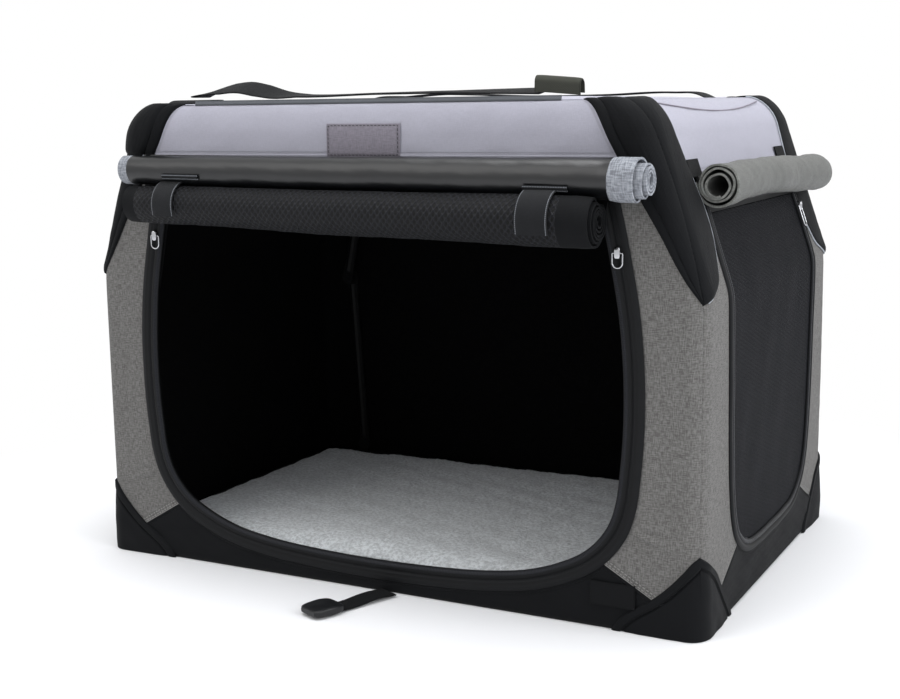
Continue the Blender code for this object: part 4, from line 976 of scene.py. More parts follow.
def corner_patch(corner, name, node, sign):
    """Padded patch over an upper corner: a welt, a middle and a side band, sewn between two curved edges."""
    cover = Cover()
    t, s = lattice(170, 110)
    v = PATCH_TIP + (cover.top - PATCH_TIP) * t
    front, side = [patch_edge(*patch, v) for patch in PATCHES]
    q = -front + (front + side) * s
    welt = np.minimum(0.0105, front * 0.42)
    seam = 0.0060 * np.sin(math.pi * np.clip((v - 0.33) / 0.182, 0, 1)) * np.minimum(1, side / 0.03)
    rise = channel_rise(q, (-front, -front + welt, seam, side)) ** 0.75
    fade = smooth_step((cover.top + 0.004 - v) / 0.02)
    wrinkle = ripple(q, v, 0.05, 31 + corner) * 0.0006 + ripple(q * 3, v, 0.018, 41 + corner) * 0.00022
    out = 0.0010 + (sizes().pad * rise + wrinkle * rise) * (0.35 + 0.65 * fade)
    away = np.minimum(q + front, side - q)
    out = out - 0.0010 * (1 - smooth_step(away / 0.0012))
    if corner > 1:
        out = out + left_bulge(v) * smooth_step((q + front) / 0.016)
    grid = cover.point(corner, cover.mid(corner, v) + sign * q, v, out)
    made = Cloth()
    made.shell(order(grid, sign), order(pair(q, v), sign), PADDED, order(pair(away, v), sign))
    place(made.make(name, ["patch"]), "base", [node])
    patch_piping(corner, name, sign, v[:, 0], -front[:, 0], side[:, 0] + 0.0004)


def patch_piping(corner, name, sign, v, front, side):
    """Sewn-down piping along both edges of a corner patch; the side's cord is thicker and stands higher."""
    cover = Cover()
    radius = sizes().piping
    bulge = left_bulge(v) if corner > 1 else 0.0
    made = Cloth()
    cords = ((front, 0.0006, radius * 0.6), (side, 0.0012 + bulge, radius * 0.8))
    for look, (q, lift, size) in enumerate(cords):
        line = cover.point(corner, cover.mid(corner, v) + sign * q, v, lift)
        add_tube(made, line[2:], size, 8, look=look)
    place(made.make(name + "_piping", ["trim", "pale"]), "base")


def left_bulge(v):
    """How far the left patches stand out at the foot of the shoulder: one hump over the height."""
    low, high, rise = LEFT_BULGE
    return rise * hump(np.clip((v - low) / (high - low), 0, 1))


def order(grid, sign):
    """Turns a grid's columns round on mirrored corners."""
    return grid if sign > 0 else grid[:, ::-1]


def add_tube(made, line, radius, sides=10, look=0, closed=False):
    """Adds a round cord along a line: circles across its direction, with closed ends."""
    line = np.asarray(line, float)
    way = np.roll(line, -1, 0) - np.roll(line, 1, 0) if closed else np.gradient(line, axis=0)
    way = way / np.maximum(np.linalg.norm(way, axis=1, keepdims=True), TINY)
    side = np.cross(way, (0.0, 0.0, 1.0))
    flat = np.linalg.norm(side, axis=1, keepdims=True)
    side = np.where(flat > 0.05, side / np.maximum(flat, TINY), np.cross(way, (0.0, 1.0, 0.0)))
    side = side / np.maximum(np.linalg.norm(side, axis=1, keepdims=True), TINY)
    up = np.cross(side, way)
    turn = np.linspace(0, 2 * math.pi, sides + 1)
    size = np.full(len(line), radius)
    if closed:
        line, side, up, size = [np.concatenate([a, a[:1]]) for a in (line, side, up, size)]
    else:
        line, side, up = [np.concatenate([a[:1], a, a[-1:]]) for a in (line, side, up)]
        size = np.concatenate([[0.0], size, [0.0]])
    ring = np.cos(turn)[None, :, None] * side[:, None] + np.sin(turn)[None, :, None] * up[:, None]
    points = line[:, None] + ring * size[:, None, None]
    uv = pair(distances(line)[:, None], turn[None, :] * np.max(size))
    made.grid(points, uv, None, look)


def strip(corner, name, node, sign):
    """Heather strip of one corner: a sheet on the long side and one on the end, sewn at the corner."""
    made = Cloth()
    door, end = (corner, (corner + 1) % 4) if sign > 0 else ((corner + 1) % 4, corner)
    grids = [strip_side(made, face, side) for face, side in ((door, sign), (end, -sign))]
    return cloth_sheet(place(made.make(name, ["heather"]), "base", [node]), grids)


def strip_side(made, face, side):
    """Adds one sheet of a heather strip, from the opening and the slanted seam to the patch."""
    cover = Cover()
    start = seam_start(face)
    top = DOOR_TOP if face % 2 == 0 else PATCH_TIP + 0.336 * (cover.top - PATCH_TIP)
    t, s = lattice(260, 64)
    v = SKIRT_TOP + (top - SKIRT_TOP) * t
    slant = np.interp(v, [SKIRT_TOP, start[1]], [SEAM_ENDS[face % 2], start[0]])
    inner = np.where(v < start[1], slant, opening_edge(face, v))
    patch = patch_edge(*PATCHES[face % 2], np.maximum(v, PATCH_TIP))
    outer = np.maximum(cover.mid(face, v) - np.where(v > PATCH_TIP, patch, 0), inner)
    along = inner + (outer - inner) * s
    away = np.minimum(outer - along, np.minimum(along - inner, (v - SKIRT_TOP) + (along - inner) * 0.5))
    slack = smooth_step(away / 0.016)
    seed = 50 + face * 2 + (side > 0)
    folds = ripple(along, v * 0.5, 0.13, seed) * 0.0010 + ripple(along * 1.5, v, 0.035, seed + 9) * 0.0003
    out = folds * slack + dent(along, v, face) * slack
    out = out - 0.0006 * (1 - smooth_step((outer - along) / 0.0012)) * (v < PATCH_TIP)
    grid = cover.point(face, side * along, v, out)
    uv, mark = pair(side * along, v), slant_map(face, along, v)
    made.shell(order(grid, side), order(uv, side), PANEL, order(mark, side))
    return grid


def slant_map(face, along, v):
    """Seam map of a heather strip: distance across the slanted seam's line and distance down along it."""
    start = seam_start(face)
    run_x, run_v = SEAM_ENDS[face % 2] - start[0], SKIRT_TOP - start[1]
    size = math.hypot(run_x, run_v)
    over = ((along - start[0]) * -run_v + (v - start[1]) * run_x) / size
    down = ((along - start[0]) * run_x + (v - start[1]) * run_v) / size
    return pair(over, down)


def dent(along, v, face):
    """Two soft ridges of slack cloth that run across the strip over its slanted seam."""
    if face % 2:
        return 0.0
    d = (v - 0.094) + (along - 0.295) * 0.30
    reach = np.exp(-((along - 0.292) / 0.016) ** 2) * np.exp(-(d / 0.012) ** 2)
    return reach * 0.0017 * (1 + np.cos(d * 520))


def skirt():
    """Black band round the foot: each face from its foot to the skirt's top edge, with slack folds."""
    cover = Cover()
    made = Cloth()
    grids = []
    for face in range(4):
        t, s = lattice(26, 420)
        mid = float(cover.mid(face, 0.01))
        along = mid * (2 * s - 1)
        top = skirt_line(face, along)
        v = SKIRT_FOOT + (top - SKIRT_FOOT) * t
        away = top - v
        slack = smooth_step((mid - np.abs(along)) / 0.03) * smooth_step(v / 0.01)
        folds = ripple(along, v * 2, 0.09, 70 + face) * 0.0014
        folds = folds + ripple(along, v * 2, 0.03, 80 + face) * 0.0005
        out = folds * slack + 0.0009 * (1 - smooth_step(np.abs(away - 0.0018) / 0.0020))
        grid = cover.point(face, along, v, out)
        made.shell(grid, pair(along, v), PANEL, pair(away, along))
        grids.append(grid)
    return cloth_sheet(place(made.make("skirt_band", ["skirt"]), "base", ["skirt"]), grids)


def boot_line(shares):
    """Curved edge of a boot on one face, as distance from the corner and height."""
    return smooth_line(shares * (BOOT_REACH, BOOT_TIP), 120)


def boot_edge(shares, height):
    """Distance of a boot's curved edge from its corner at a height."""
    line = boot_line(shares)[::-1]
    return np.interp(height, line[:, 1], line[:, 0])


def boot(corner, name, node, sign):
    """Boot round a low corner: a padded panel inside a flat binding that follows two curved edges."""
    cover = Cover()
    t, s = lattice(90, 150)
    v = BOOT_TIP * t
    shares = BOOTS if sign > 0 else BOOTS[::-1]
    left, right = [boot_edge(table, v) for table in shares]
    q = -left + (left + right) * s
    level = np.where(q < 0, q + left, right - q)
    lines = [boot_line(table) for table in shares]
    above = [np.interp(np.abs(q), line[:, 0], line[:, 1]) for line in lines]
    above = np.maximum(np.where(q < 0, above[0], above[1]) - v, 0)
    away = level * above / np.maximum(np.hypot(level, above), TINY)
    band = smooth_step(away / 0.0016) * (1 - smooth_step((away - BOOT_BAND + 0.0012) / 0.0012))
    panel = smooth_step((away - BOOT_BAND) / 0.0035)
    out = 0.0004 + 0.0021 * band + panel * (0.0016 + 0.0016 * smooth_step((away - BOOT_BAND) / 0.02))
    out = out + ripple(q, v, 0.045, 90 + corner) * 0.0007 * panel
    out = out + ripple(q, v, 0.03, 95 + corner) * 0.0003 * band
    grid = cover.point(corner, cover.mid(corner, v) + q, v, out)
    made = Cloth()
    made.shell(grid, pair(q, v), HEAVY, pair(away, np.where(q > 0, v, -v) * 1.4))
    place(made.make(name, ["boot"]), "base", [node])


def binding(face, name, node, look, wide):
    """Zip tape and binding round an opening: a welt, a flat tape and a coil, swept round the loop."""
    cover = Cover()
    loop = opening_loop(face)
    count = 18
    rows = []
    for k in range(count):
        ring = moved_in(loop, wide * k / (count - 1))
        if face % 2:
            ring[:, 1] = np.minimum(ring[:, 1], SIDE_TOP - (SIDE_TOP - FLAP_TOP) * k / (count - 1))
        rows.append(ring)
    plane = np.stack(rows[::-1], 0)
    share = np.linspace(1, 0, count)[:, None]
    run = distances(loop)[None, :]
    welt = 0.0016 * hump(np.clip(share / 0.47, 0, 1))
    coil = 0.0014 * hump(np.clip((share - 0.60) / 0.26, 0, 1))
    out = np.broadcast_to(welt + coil + 0.0002, plane.shape[:2]) + ripple(run, share * 0.02, 0.11, 5) * 0.0003
    seam = pair(share * wide, run)
    grid = cover.point(face, plane[..., 0], plane[..., 1], out)
    made = Cloth()
    made.shell(grid, seam[..., ::-1], TAPE, seam)
    made = place(made.make(name, [look]), "base", [node])
    return cloth_sheet(made, [grid], "ribbon")


def pane(line, top):
    """Half width, place along and height of points inside an opening's line, closer together at its foot."""
    right = right_half(line)
    foot = line[:, 1].min()
    t, s = lattice(150, 130)
    v = foot + (top - foot) * t ** 2
    half = np.interp(v, right[:, 1], right[:, 0])
    return half, half * (2 * s - 1), v


def mesh_door(face, name, node, inner):
    """Mesh door inside an end's binding: rows across from edge to edge, up to its hem."""
    cover = Cover()
    line = moved_in(opening_loop(face), inner)[:LINE_POINTS]
    foot, top = line[:, 1].min(), FLAP_TOP - 0.0006
    half, along, v = pane(line, top)
    away = np.minimum(half - np.abs(along), np.minimum(v - foot, top - v))
    out = ripple(along, v, 0.2, 17 + face) * 0.0012 * smooth_step(away / 0.05)
    out = out - 0.0008 * smooth_step(away / 0.06)
    grid = cover.point(face, along, v, out)
    made = Cloth()
    made.shell(grid, pair(along, v), THIN, pair(away, along + v))
    return cloth_sheet(place(made.make(name, ["window_mesh"]), "side_door", [node]), [grid])


def closed_window(face, name, node):
    """Opening that is zipped shut: a shade cloth and its zip tape in one piece."""
    cover = Cover()
    made = Cloth()
    wide, count = 0.014, 16
    loop = opening_loop(face)
    rows = [moved_in(loop, wide * k / (count - 1)) for k in range(count)]
    plane = np.stack(rows[::-1], 0)
    share = np.linspace(1, 0, count)[:, None]
    out = np.broadcast_to(0.0012 * hump(np.clip((share - 0.45) / 0.3, 0, 1)) + 0.0006, plane.shape[:2])
    seam = pair(share * wide, distances(loop)[None, :])
    made.shell(cover.point(face, plane[..., 0], plane[..., 1], out), seam[..., ::-1], PANEL, seam, 1)
    line = rows[-1][:LINE_POINTS]
    half, along, v = pane(line, line[:, 1].max())
    away = half - np.abs(along)
    out = 0.0002 + ripple(along, v * 0.6, 0.17, 27 + face) * 0.0016 * smooth_step(away / 0.05)
    grid = cover.point(face, along, v, out)
    made.shell(grid, pair(along, v), THIN, pair(away, v), 0)
    tape = cover.point(face, plane[..., 0], plane[..., 1], 0.0006)
    panel = place(made.make(name, ["shade", "side_zip"]), "base", [node])
    size = (2 * float(np.abs(loop[:, 0]).max()), float(np.ptp(loop[:, 1])) * 1.02)
    return cloth_sheet(panel, [grid, tape], flat=size)


def closed_lining(face, name, node):
    """Plain inner wall from the floor to the shoulder."""
    cover = Cover()
    t, s = lattice(90, 150)
    v = LINING_FOOT + (cover.base - LINING_FOOT) * t
    along = cover.mid(face, v) * (2 * s - 1)
    out = -sizes().lining_depth - 0.0002 + ripple(along, v, 0.25, 61 + face) * 0.0004
    grid = cover.point(face, along, v, out)
    made = Cloth()
    made.shell(grid, pair(along, v), THIN)
    return cloth_sheet(place(made.make(name, ["lining"]), "base", [node]), [grid])


def open_lining(face, name, node, inner):
    """Inner wall with a doorway: rings between the doorway's edge and the wall's edge."""
    cover = Cover()
    loop = moved_in(opening_loop(face), inner)
    if face % 2:
        loop[:, 1] = np.minimum(loop[:, 1], FLAP_TOP)
    low, middle, high = LINING_FOOT, 0.24, cover.base
    shape = np.stack([loop[:, 0] / cover.mid(face, loop[:, 1]), loop[:, 1] - middle], 1)
    sideways = 1 / np.maximum(np.abs(shape[:, 0]), TINY)
    upward = (high - middle) / np.maximum(shape[:, 1], TINY)
    downward = (middle - low) / np.maximum(-shape[:, 1], TINY)
    grow = np.minimum(sideways, np.where(shape[:, 1] > 0, upward, downward))
    rim = shape * grow[:, None]
    t = np.linspace(0, 1, 20)[:, None, None]
    flat = rim[None] * t + shape[None] * (1 - t)
    v = flat[..., 1] + middle
    along = flat[..., 0] * cover.mid(face, v)
    grid = cover.point(face, along, v, -sizes().lining_depth)
    made = Cloth()
    made.shell(grid[::-1], pair(along, v)[::-1], THIN)
    return cloth_sheet(place(made.make(name, ["lining"]), "base", [node]), [grid])


def roof_edge(count):
    """Seam of the roof seen from above, at even distances."""
    cover = Cover()
    rows = []
    for face in range(4):
        mid = float(cover.mid(face, cover.top))
        along = np.linspace(-mid, mid, 120)[:-1]
        rows.append(cover.point(face, along, np.full(along.shape, cover.top))[:, :2])
    line = np.concatenate(rows)
    return even_line(np.concatenate([line, line[:1]]), count)


def roof_height(x, y):
    """Height of the crowned roof: a product of two parabolas over its half sizes."""
    s = sizes()
    ends = s.width / 2 - s.end_inset - s.shoulder_end
    fronts = s.depth / 2 - s.front_inset
    return s.height + s.crown * np.maximum(0, 1 - (x / ends) ** 2) * np.maximum(0, 1 - (y / fronts) ** 2)


def roof():
    """Roof panel: rings from its seam to its middle, crowned, with a slack fold or two."""
    edge = roof_edge(420)
    half_x, half_y = np.abs(edge).max(0)
    shrink = np.array([1 - 0.0022 / half_x, 1 - 0.0004 / half_y])
    r = (np.linspace(0, 1, 90) ** 0.8)[::-1, None, None]
    rings = edge[None] * shrink * r
    x, y = rings[..., 0], rings[..., 1]
    away = (1 - r[..., 0]) * 0.21
    slack = smooth_step(away / 0.03)
    z = roof_height(x, y) + (ripple(x, y, 0.30, 7) * 0.0016 + ripple(x, y, 0.09, 8) * 0.0004) * slack
    z = z + 0.0008 * (1 - smooth_step(np.abs(away - 0.002) / 0.0022)) - 0.0004
    grid = np.stack([x, y, z], -1)
    made = Cloth()
    made.shell(grid, pair(x, y), HEAVY, pair(away, distances(edge)[None, :] + 0 * away))
    panel = place(made.make("roof_cloth", ["light_lit_roof"]), "top_frame", ["roof_panel"], False)
    return cloth_sheet(panel, [grid], (float(2 * half_x), float(2 * half_y)))


# Rolled panels

# Columns in each end band of a roll, rows of its loose tail, and the distance between its layers
ROLL_CUT, TAIL_ROWS, PITCH = 9, 8, 0.0033

# Rolls from their first end to their last: place, radius, gap to the wall and height of the axis
UPPER_ROLL = np.array((
    (-0.2870, 0.0154, 0.0027, 0.4336), (0.262, 0.0194, 0.0027, 0.4304), (0.276, 0.0208, 0.0029, 0.4296),
    (0.304, 0.0208, 0.0029, 0.4294)))
MESH_ROLL = np.array((
    (-0.280, 0.0200, 0.0011, 0.3982), (-0.250, 0.0210, 0.0011, 0.3984), (0.0, 0.0236, 0.0030, 0.3952),
    (0.245, 0.0246, 0.0105, 0.3925), (0.260, 0.0236, 0.0110, 0.3920)))
SIDE_ROLL = np.array((
    (-0.170, 0.0192, 0.0012, 0.4135), (-0.150, 0.0186, 0.0012, 0.4140), (-0.080, 0.0174, 0.0020, 0.4150),
    (0.0, 0.0170, 0.0027, 0.4145), (0.120, 0.0176, 0.0027, 0.4110), (0.190, 0.0186, 0.0027, 0.4085),
    (0.216, 0.0172, 0.0027, 0.4080)))


def spiral(core, radius, per_turn=44):
    """Turns of a rolled sheet and how far it has moved in: it keeps its full radius for most of a turn."""
    turns = (radius - core) / PITCH
    turn = np.linspace(0, turns, int(per_turn * turns))
    return turn, PITCH * np.interp(turn, [0, 0.7, 1.05, turns + 1], [0, 0.12, 1.0, turns + 0.95])


def layers(core, radius):
    """Turn, inward move and share of the tail for each row of a roll: its loose tail, then its turns."""
    turn, inward = spiral(core, radius)
    tail = np.linspace(1, 1 / TAIL_ROWS, TAIL_ROWS)
    before, after = 0 * tail, 0 * turn
    rows = ((before, turn), (before, inward), (tail, after))
    return [np.concatenate(parts)[:, None] for parts in rows]


def stretches(low, high, left, right, steps):
    """Places along each layer of a roll: even steps in its two end bands and between them."""
    ends = np.linspace(0, 1, ROLL_CUT)[None]
    between = np.linspace(0, 1, steps)[None, 1:-1]
    first, last = low + left, high - right
    return np.concatenate([low + left * ends, first + (last - first) * between, last + right * ends], 1)


def pressed(u, w, centre, need):
    """Moves points straight away from a centre until they are as far from it as they need to be."""
    du, dw = u - centre[0], w - centre[1]
    far = np.maximum(np.hypot(du, dw), TINY)
    grow = np.maximum(need / far, 1.0)
    return centre[0] + du * grow, centre[1] + dw * grow


def wound(name, node, table, core, tail, looks, bands, telescope, wave, seed, steps=150, above=None,
          end=False):
    """Rolled panel: a spiral whose radius and axis follow a table of places, with slack and stepped ends."""
    turn, inward, hang = layers(core, table[:, 1].max())
    angle = 2 * math.pi * turn
    low = table[0, 0] - telescope[0] * (np.minimum(turn, 2) - 2)
    high = table[-1, 0] + telescope[1] * (np.minimum(turn, 2) - 2)
    along = stretches(low, high, bands[0], bands[1], steps)
    radius, gap, height = roll_at(table, along)
    swell = ripple(along, angle * 0.02, 0.14, seed) * wave * 2
    swell = swell + ripple(along, angle * 0.03, 0.045, seed + 1) * wave
    far = radius - inward + swell * smooth_step(turn / 0.2)
    u = np.where(hang > 0, radius + (gap - 0.0009) * hang, far * np.cos(angle))
    w = np.where(hang > 0, tail * hang, -far * np.sin(angle))
    if above is not None:
        up_radius, up_gap, up_height = roll_at(above, along)
        centre = (gap + radius - up_gap - up_radius, up_height - height)
        bent = pressed(u, w, centre, up_radius + 0.0020 + 0.0023 * turn)
        u, w = [np.where(hang > 0, old, new) for old, new in zip((u, w), bent)]
    if end:
        grid = beside_end(along, height, gap + radius - u, w)
    else:
        grid = np.stack([along, -(sizes().depth / 2 + gap + radius) + u, height + w], -1)
    run = distances(grid[:, ROLL_CUT])[:, None] + 0 * along
    look = np.zeros(along.shape, int)
    look[:, :ROLL_CUT - 1] = 1
    look[:, -ROLL_CUT:] = 1
    uv, seam = pair(along, run), pair(np.minimum(along - low, high - along), run)
    if end:
        grid, uv, seam, look = grid[:, ::-1], uv[:, ::-1], seam[:, ::-1], np.roll(look[:, ::-1], -1, 1)
    made = Cloth()
    made.shell(grid, uv, PADDED, seam, look)
    return cloth_sheet(place(made.make(name, looks), "base", [node]), [grid])


def roll_at(table, along):
    """Radius, gap to the wall and height of a roll's axis at places along it."""
    return [np.interp(along, table[:, 0], table[:, k]) for k in (1, 2, 3)]


def beside_end(along, height, away, w):
    """Points beside the right end's slanted wall: so far from it, and so far along it from a height."""
    s = sizes()
    slope = math.atan2(s.end_inset, s.height - s.bend)
    foot = Cover().point(1, 0.0 * along, height)
    x = foot[..., 0] + away * math.cos(slope) - w * math.sin(slope)
    z = foot[..., 2] + away * math.sin(slope) + w * math.cos(slope)
    return np.stack([x, along, z], -1)


def on_roll(table, x, angle, lift):
    """Points on a front roll's surface at places and angles about its axis, 0 at the wall and 90 on top."""
    radius, gap, height = roll_at(table, x)
    far = radius + lift
    y = -(sizes().depth / 2 + gap + radius) + far * np.cos(angle)
    return np.stack(np.broadcast_arrays(x, y, height + far * np.sin(angle)), -1)


def wound_strap(name, node, body, x, wide):
    """Hook-and-loop strap over the front of the mesh roll, from between the rolls to below its middle."""
    t, s = lattice(60, 24)
    angle = math.radians(101) + math.radians(104) * t
    side = np.abs(2 * s - 1)
    lift = 0.0019 + 0.0006 * (1 - side ** 6) + 0.0007 * smooth_step((t - 0.9) / 0.1)
    along = x + (wide / 2) * (2 * s - 1)
    grid = on_roll(MESH_ROLL, along, angle, lift)
    run = 0.024 * (angle - angle[0, 0])
    made = Cloth()
    made.shell(grid, pair(along - x, run), TAPE, pair(wide / 2 * (1 - side), run))
    return place(made.make(name, ["rough_strap"]), body, [node])


def tack(name, x, wide, start, stop):
    """Sewn-down end of a strap on the upper roll: a thin band with a row of stitches along each edge."""
    t, s = lattice(12, 40)
    angle = math.radians(start) + math.radians(stop - start) * t
    along = x + (wide / 2) * (2 * s - 1)
    grid = on_roll(UPPER_ROLL, along, angle, 0.0013 * hump(np.clip(t, 0.03, 0.97)) ** 0.5)
    run = 0.018 * (angle - angle[0, 0])
    made = Cloth()
    away = np.minimum(run, run[-1:] - run)
    made.shell(grid, pair(along, run), 0.0008, pair(away, along + 1.0))
    return place(made.make(name, ["rough_strap"]), "base")


def flat_strap(made, line, across, thick, look=0):
    """Adds a strap: a rounded flat section carried along a line, its half width a vector at each point."""
    line, across = np.asarray(line, float), np.asarray(across, float)
    way = np.gradient(line, axis=0)
    way = way / np.linalg.norm(way, axis=1, keepdims=True)
    half = np.linalg.norm(across, axis=1, keepdims=True)
    side = across / np.maximum(half, TINY)
    up = np.cross(way, side)
    up = up / np.maximum(np.linalg.norm(up, axis=1, keepdims=True), TINY)
    turn = np.linspace(0, 2 * math.pi, 33)
    level, rise = squared_off(np.cos(turn), 0.35), squared_off(np.sin(turn), 0.6)
    points = line[:, None] + level[None, :, None] * (side * half)[:, None]
    points = points + rise[None, :, None] * up[:, None] * thick / 2
    run, reach = distances(line)[:, None], half * level[None, :]
    uv, seam = pair(run, reach), pair(half - np.abs(reach), run + 0 * reach)
    first, last = line[:1, None] + 0 * points[:1], line[-1:, None] + 0 * points[-1:]
    points = np.concatenate([first, points, last])
    uv, seam = [np.concatenate([a[:1], a, a[-1:]]) for a in (uv, seam)]
    made.grid(points, uv, seam, look)


# Operators

class CRATE_OT_materials(Operator):
    """Makes the crate's materials and finishes the steel and the floor board."""
    bl_idname = "crate.materials"
    bl_label = "Materials"

    def execute(self, context):
        make_materials()
        for name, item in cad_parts.items():
            if "leg" in name or "ring" in name and "pull" not in name:
                item.data.materials.clear()
                item.data.materials.append(MATERIALS["steel"])
        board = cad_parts["floor_panel"]
        board.data.materials.clear()
        board.data.materials.append(MATERIALS["steel"])
        return {"FINISHED"}


class CRATE_OT_cabin(Operator):
    """Adds the four inner walls."""
    bl_idname = "crate.cabin"
    bl_label = "Cabin walls"

    def execute(self, context):
        s = sizes()
        closed_lining(2, "back_wall", "back_lining")
        closed_lining(3, "left_wall", "left_lining")
        open_lining(0, "front_wall", "front_lining", s.binding - 0.001)
        open_lining(1, "right_wall", "right_lining", s.side_binding - 0.001)
        return {"FINISHED"}


class CRATE_OT_mat(Operator):
    """Adds the fleece mat: a slab with a rounded rim that is blown up as cloth, then napped."""
    bl_idname = "crate.mat"
    bl_label = "Fleece mat"

    def execute(self, context):
        low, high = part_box("fleece_mat")
        half_x, half_y, tall = (high.x - low.x) / 2, (high.y - low.y) / 2, high.z - low.z
        t, s = lattice(120, 200)
        u, w = 2 * s - 1, 2 * t - 1
        edge = (1 - np.abs(u) ** 14) * (1 - np.abs(w) ** 10)
        x = half_x * u * (1 - 0.010 * np.abs(w) ** 6)
        y = half_y * w * (1 - 0.014 * np.abs(u) ** 6)
        crown = np.clip(edge, 0, 1) ** 0.45
        z = low.z + tall * 0.5 + tall * 0.4 * crown + ripple(x, y, 0.2, 14) * 0.0016 * crown
        under = low.z + tall * 0.5 * (1 - crown)
        made = Cloth()
        made.grid(np.stack([x, y, z], -1), pair(x, y))
        made.grid(np.stack([x, y, under], -1), pair(x, y), flip=True)
        mat = made.make("fleece_pad", ["fleece"])
        blow_up(mat, low.z)
        nap(mat, low.z + tall * 0.5)
        place(mat, "base", ["fleece_mat"])
        return {"FINISHED"}


def blow_up(made, floor_z, voxel=0.006, pressure=4.0, frames=20, cap=0.005):
    """Fills a closed piece as cloth under pressure, pinned along its foot; no point moves beyond the cap."""
    scene = bpy.context.scene
    remesh = made.modifiers.new("even_mesh", "REMESH")
    remesh.mode, remesh.voxel_size, remesh.use_smooth_shade = "VOXEL", voxel, True
    made.data = settled(made)
    start = points_of(made.data)
    pinned = made.vertex_groups.new(name="pinned")
    pinned.add([int(k) for k in np.flatnonzero(start[:, 2] < floor_z + voxel / 2)], 1.0, "REPLACE")
    cloth = made.modifiers.new("filling", "CLOTH")
    cloth.settings.quality = 6
    cloth.settings.use_pressure = True
    cloth.settings.uniform_pressure_force = pressure
    cloth.settings.effector_weights.gravity = 0.0
    cloth.settings.vertex_group_mass = "pinned"
    cloth.collision_settings.use_collision = False
    cloth.point_cache.frame_start, cloth.point_cache.frame_end = 1, frames
    for number in range(1, frames + 1):
        scene.frame_set(number)
    full = points_of(settled(made, False))
    made.modifiers.clear()
    move = full - start
    size = np.linalg.norm(move, axis=1, keepdims=True)
    share = np.minimum(1, cap / np.maximum(size, TINY))
    made.data.vertices.foreach_set("co", (start + move * share).reshape(-1))
    scene.frame_set(1)
    smooth = made.modifiers.new("finer", "SUBSURF")
    smooth.levels = smooth.render_levels = 1
    made.data = settled(made)


def settled(made, clear=True):
    """Copy of a piece's mesh as its modifiers leave it; they are then taken off where asked."""
    mesh = bpy.data.meshes.new_from_object(made.evaluated_get(bpy.context.evaluated_depsgraph_get()))
    if clear:
        made.modifiers.clear()
    return mesh


def points_of(mesh):
    """Places of a mesh's vertices as an array."""
    points = np.empty(len(mesh.vertices) * 3)
    mesh.vertices.foreach_get("co", points)
    return points.reshape(-1, 3)


def nap(made, middle):
    """Lifts the upper side of the fleece in tufts of three sizes."""
    points = points_of(made.data)
    x, y = points[:, 0], points[:, 1]
    tufts = ripple(x, y, 0.009, 11, 9) * 0.0008 + ripple(x, y, 0.016, 15, 9) * 0.0008
    tufts = tufts + ripple(x, y, 0.06, 12) * 0.0012
    points[:, 2] += tufts * smooth_step((points[:, 2] - middle) / 0.004)
    made.data.vertices.foreach_set("co", points.reshape(-1))
    made.data.update()


class CRATE_OT_openings(Operator):
    """Adds the zips and bindings of the openings, the mesh door and the closed shades."""
    bl_idname = "crate.openings"
    bl_label = "Openings"

    def execute(self, context):
        s = sizes()
        binding(0, "front_zip", "front_zip_binding", "front_zip", s.binding)
        binding(1, "side_zip", "side_zip_binding", "side_zip", s.side_binding)
        mesh_door(1, "mesh_door", "side_mesh_door", s.side_binding + 0.0004)
        closed_window(2, "back_shade", "back_shade_panel")
        closed_window(3, "left_shade", "left_shade_panel")
        return {"FINISHED"}


class CRATE_OT_walls(Operator):
    """Adds the light panels, the heather strips and the skirt."""
    bl_idname = "crate.walls"
    bl_label = "Walls"

    def execute(self, context):
        for face, side in enumerate(("front", "right", "back", "left")):
            light_panel(face, side + "_light_cloth", side + "_light_panel")
        for corner, name, sign in CORNERS:
            strip(corner, "strip_" + name, "corner_strip_" + name, sign)
        skirt()
        return {"FINISHED"}


class CRATE_OT_corners(Operator):
    """Adds the padded corner patches and the boots."""
    bl_idname = "crate.corners"
    bl_label = "Padded corners"

    def execute(self, context):
        for corner, name, sign in CORNERS:
            corner_patch(corner, "patch_" + name, "corner_patch_" + name, sign)
            boot(corner, "boot_cloth_" + name, "boot_" + name, sign)
        return {"FINISHED"}


class CRATE_OT_roof(Operator):
    """Adds the roof."""
    bl_idname = "crate.roof"
    bl_label = "Roof"

    def execute(self, context):
        roof()
        return {"FINISHED"}


class CRATE_OT_rolls(Operator):
    """Adds the three rolled panels, the straps round the mesh roll and their sewn ends."""
    bl_idname = "crate.rolls"
    bl_label = "Rolled panels"

    def execute(self, context):
        wound("shade_roll", "front_shade_roll", UPPER_ROLL, 0.0052, 0.0150, ["coated", "heather_end"],
              (0.0115, 0.0245), (0.0, 0.0070), wave=0.0004, seed=101)
        wound("mesh_roll", "front_mesh_roll", MESH_ROLL, 0.0062, 0.0190, ["roll_mesh", "trim"],
              (0.016, 0.030), (0.002, 0.002), wave=0.0005, seed=111, above=UPPER_ROLL)
        wound("side_roll", "side_shade_roll", SIDE_ROLL, 0.0085, 0.0090, ["shade", "side_edge"],
              (0.0022, 0.0022), (0.0015, 0.0015), wave=0.0009, seed=121, steps=110, end=True)
        wound_strap("left_strap", "roll_strap_left", "left_roll_strap", -0.2200, 0.027)
        wound_strap("right_strap", "roll_strap_right", "right_roll_strap", 0.2040, 0.032)
        tack("left_tack", -0.204, 0.046, 191, 209)
        tack("right_tack", 0.209, 0.044, 198, 215)
        return {"FINISHED"}


# Patches sewn on over the front wall: name, node, finish, slot and lift
FLAT_PATCHES = (("bare_patch", "label_patch", "bare_patch", "label_cloth", 0.0008),
                ("hook_pad", "hook_patch", "strap", "black_webbing", 0.0026))
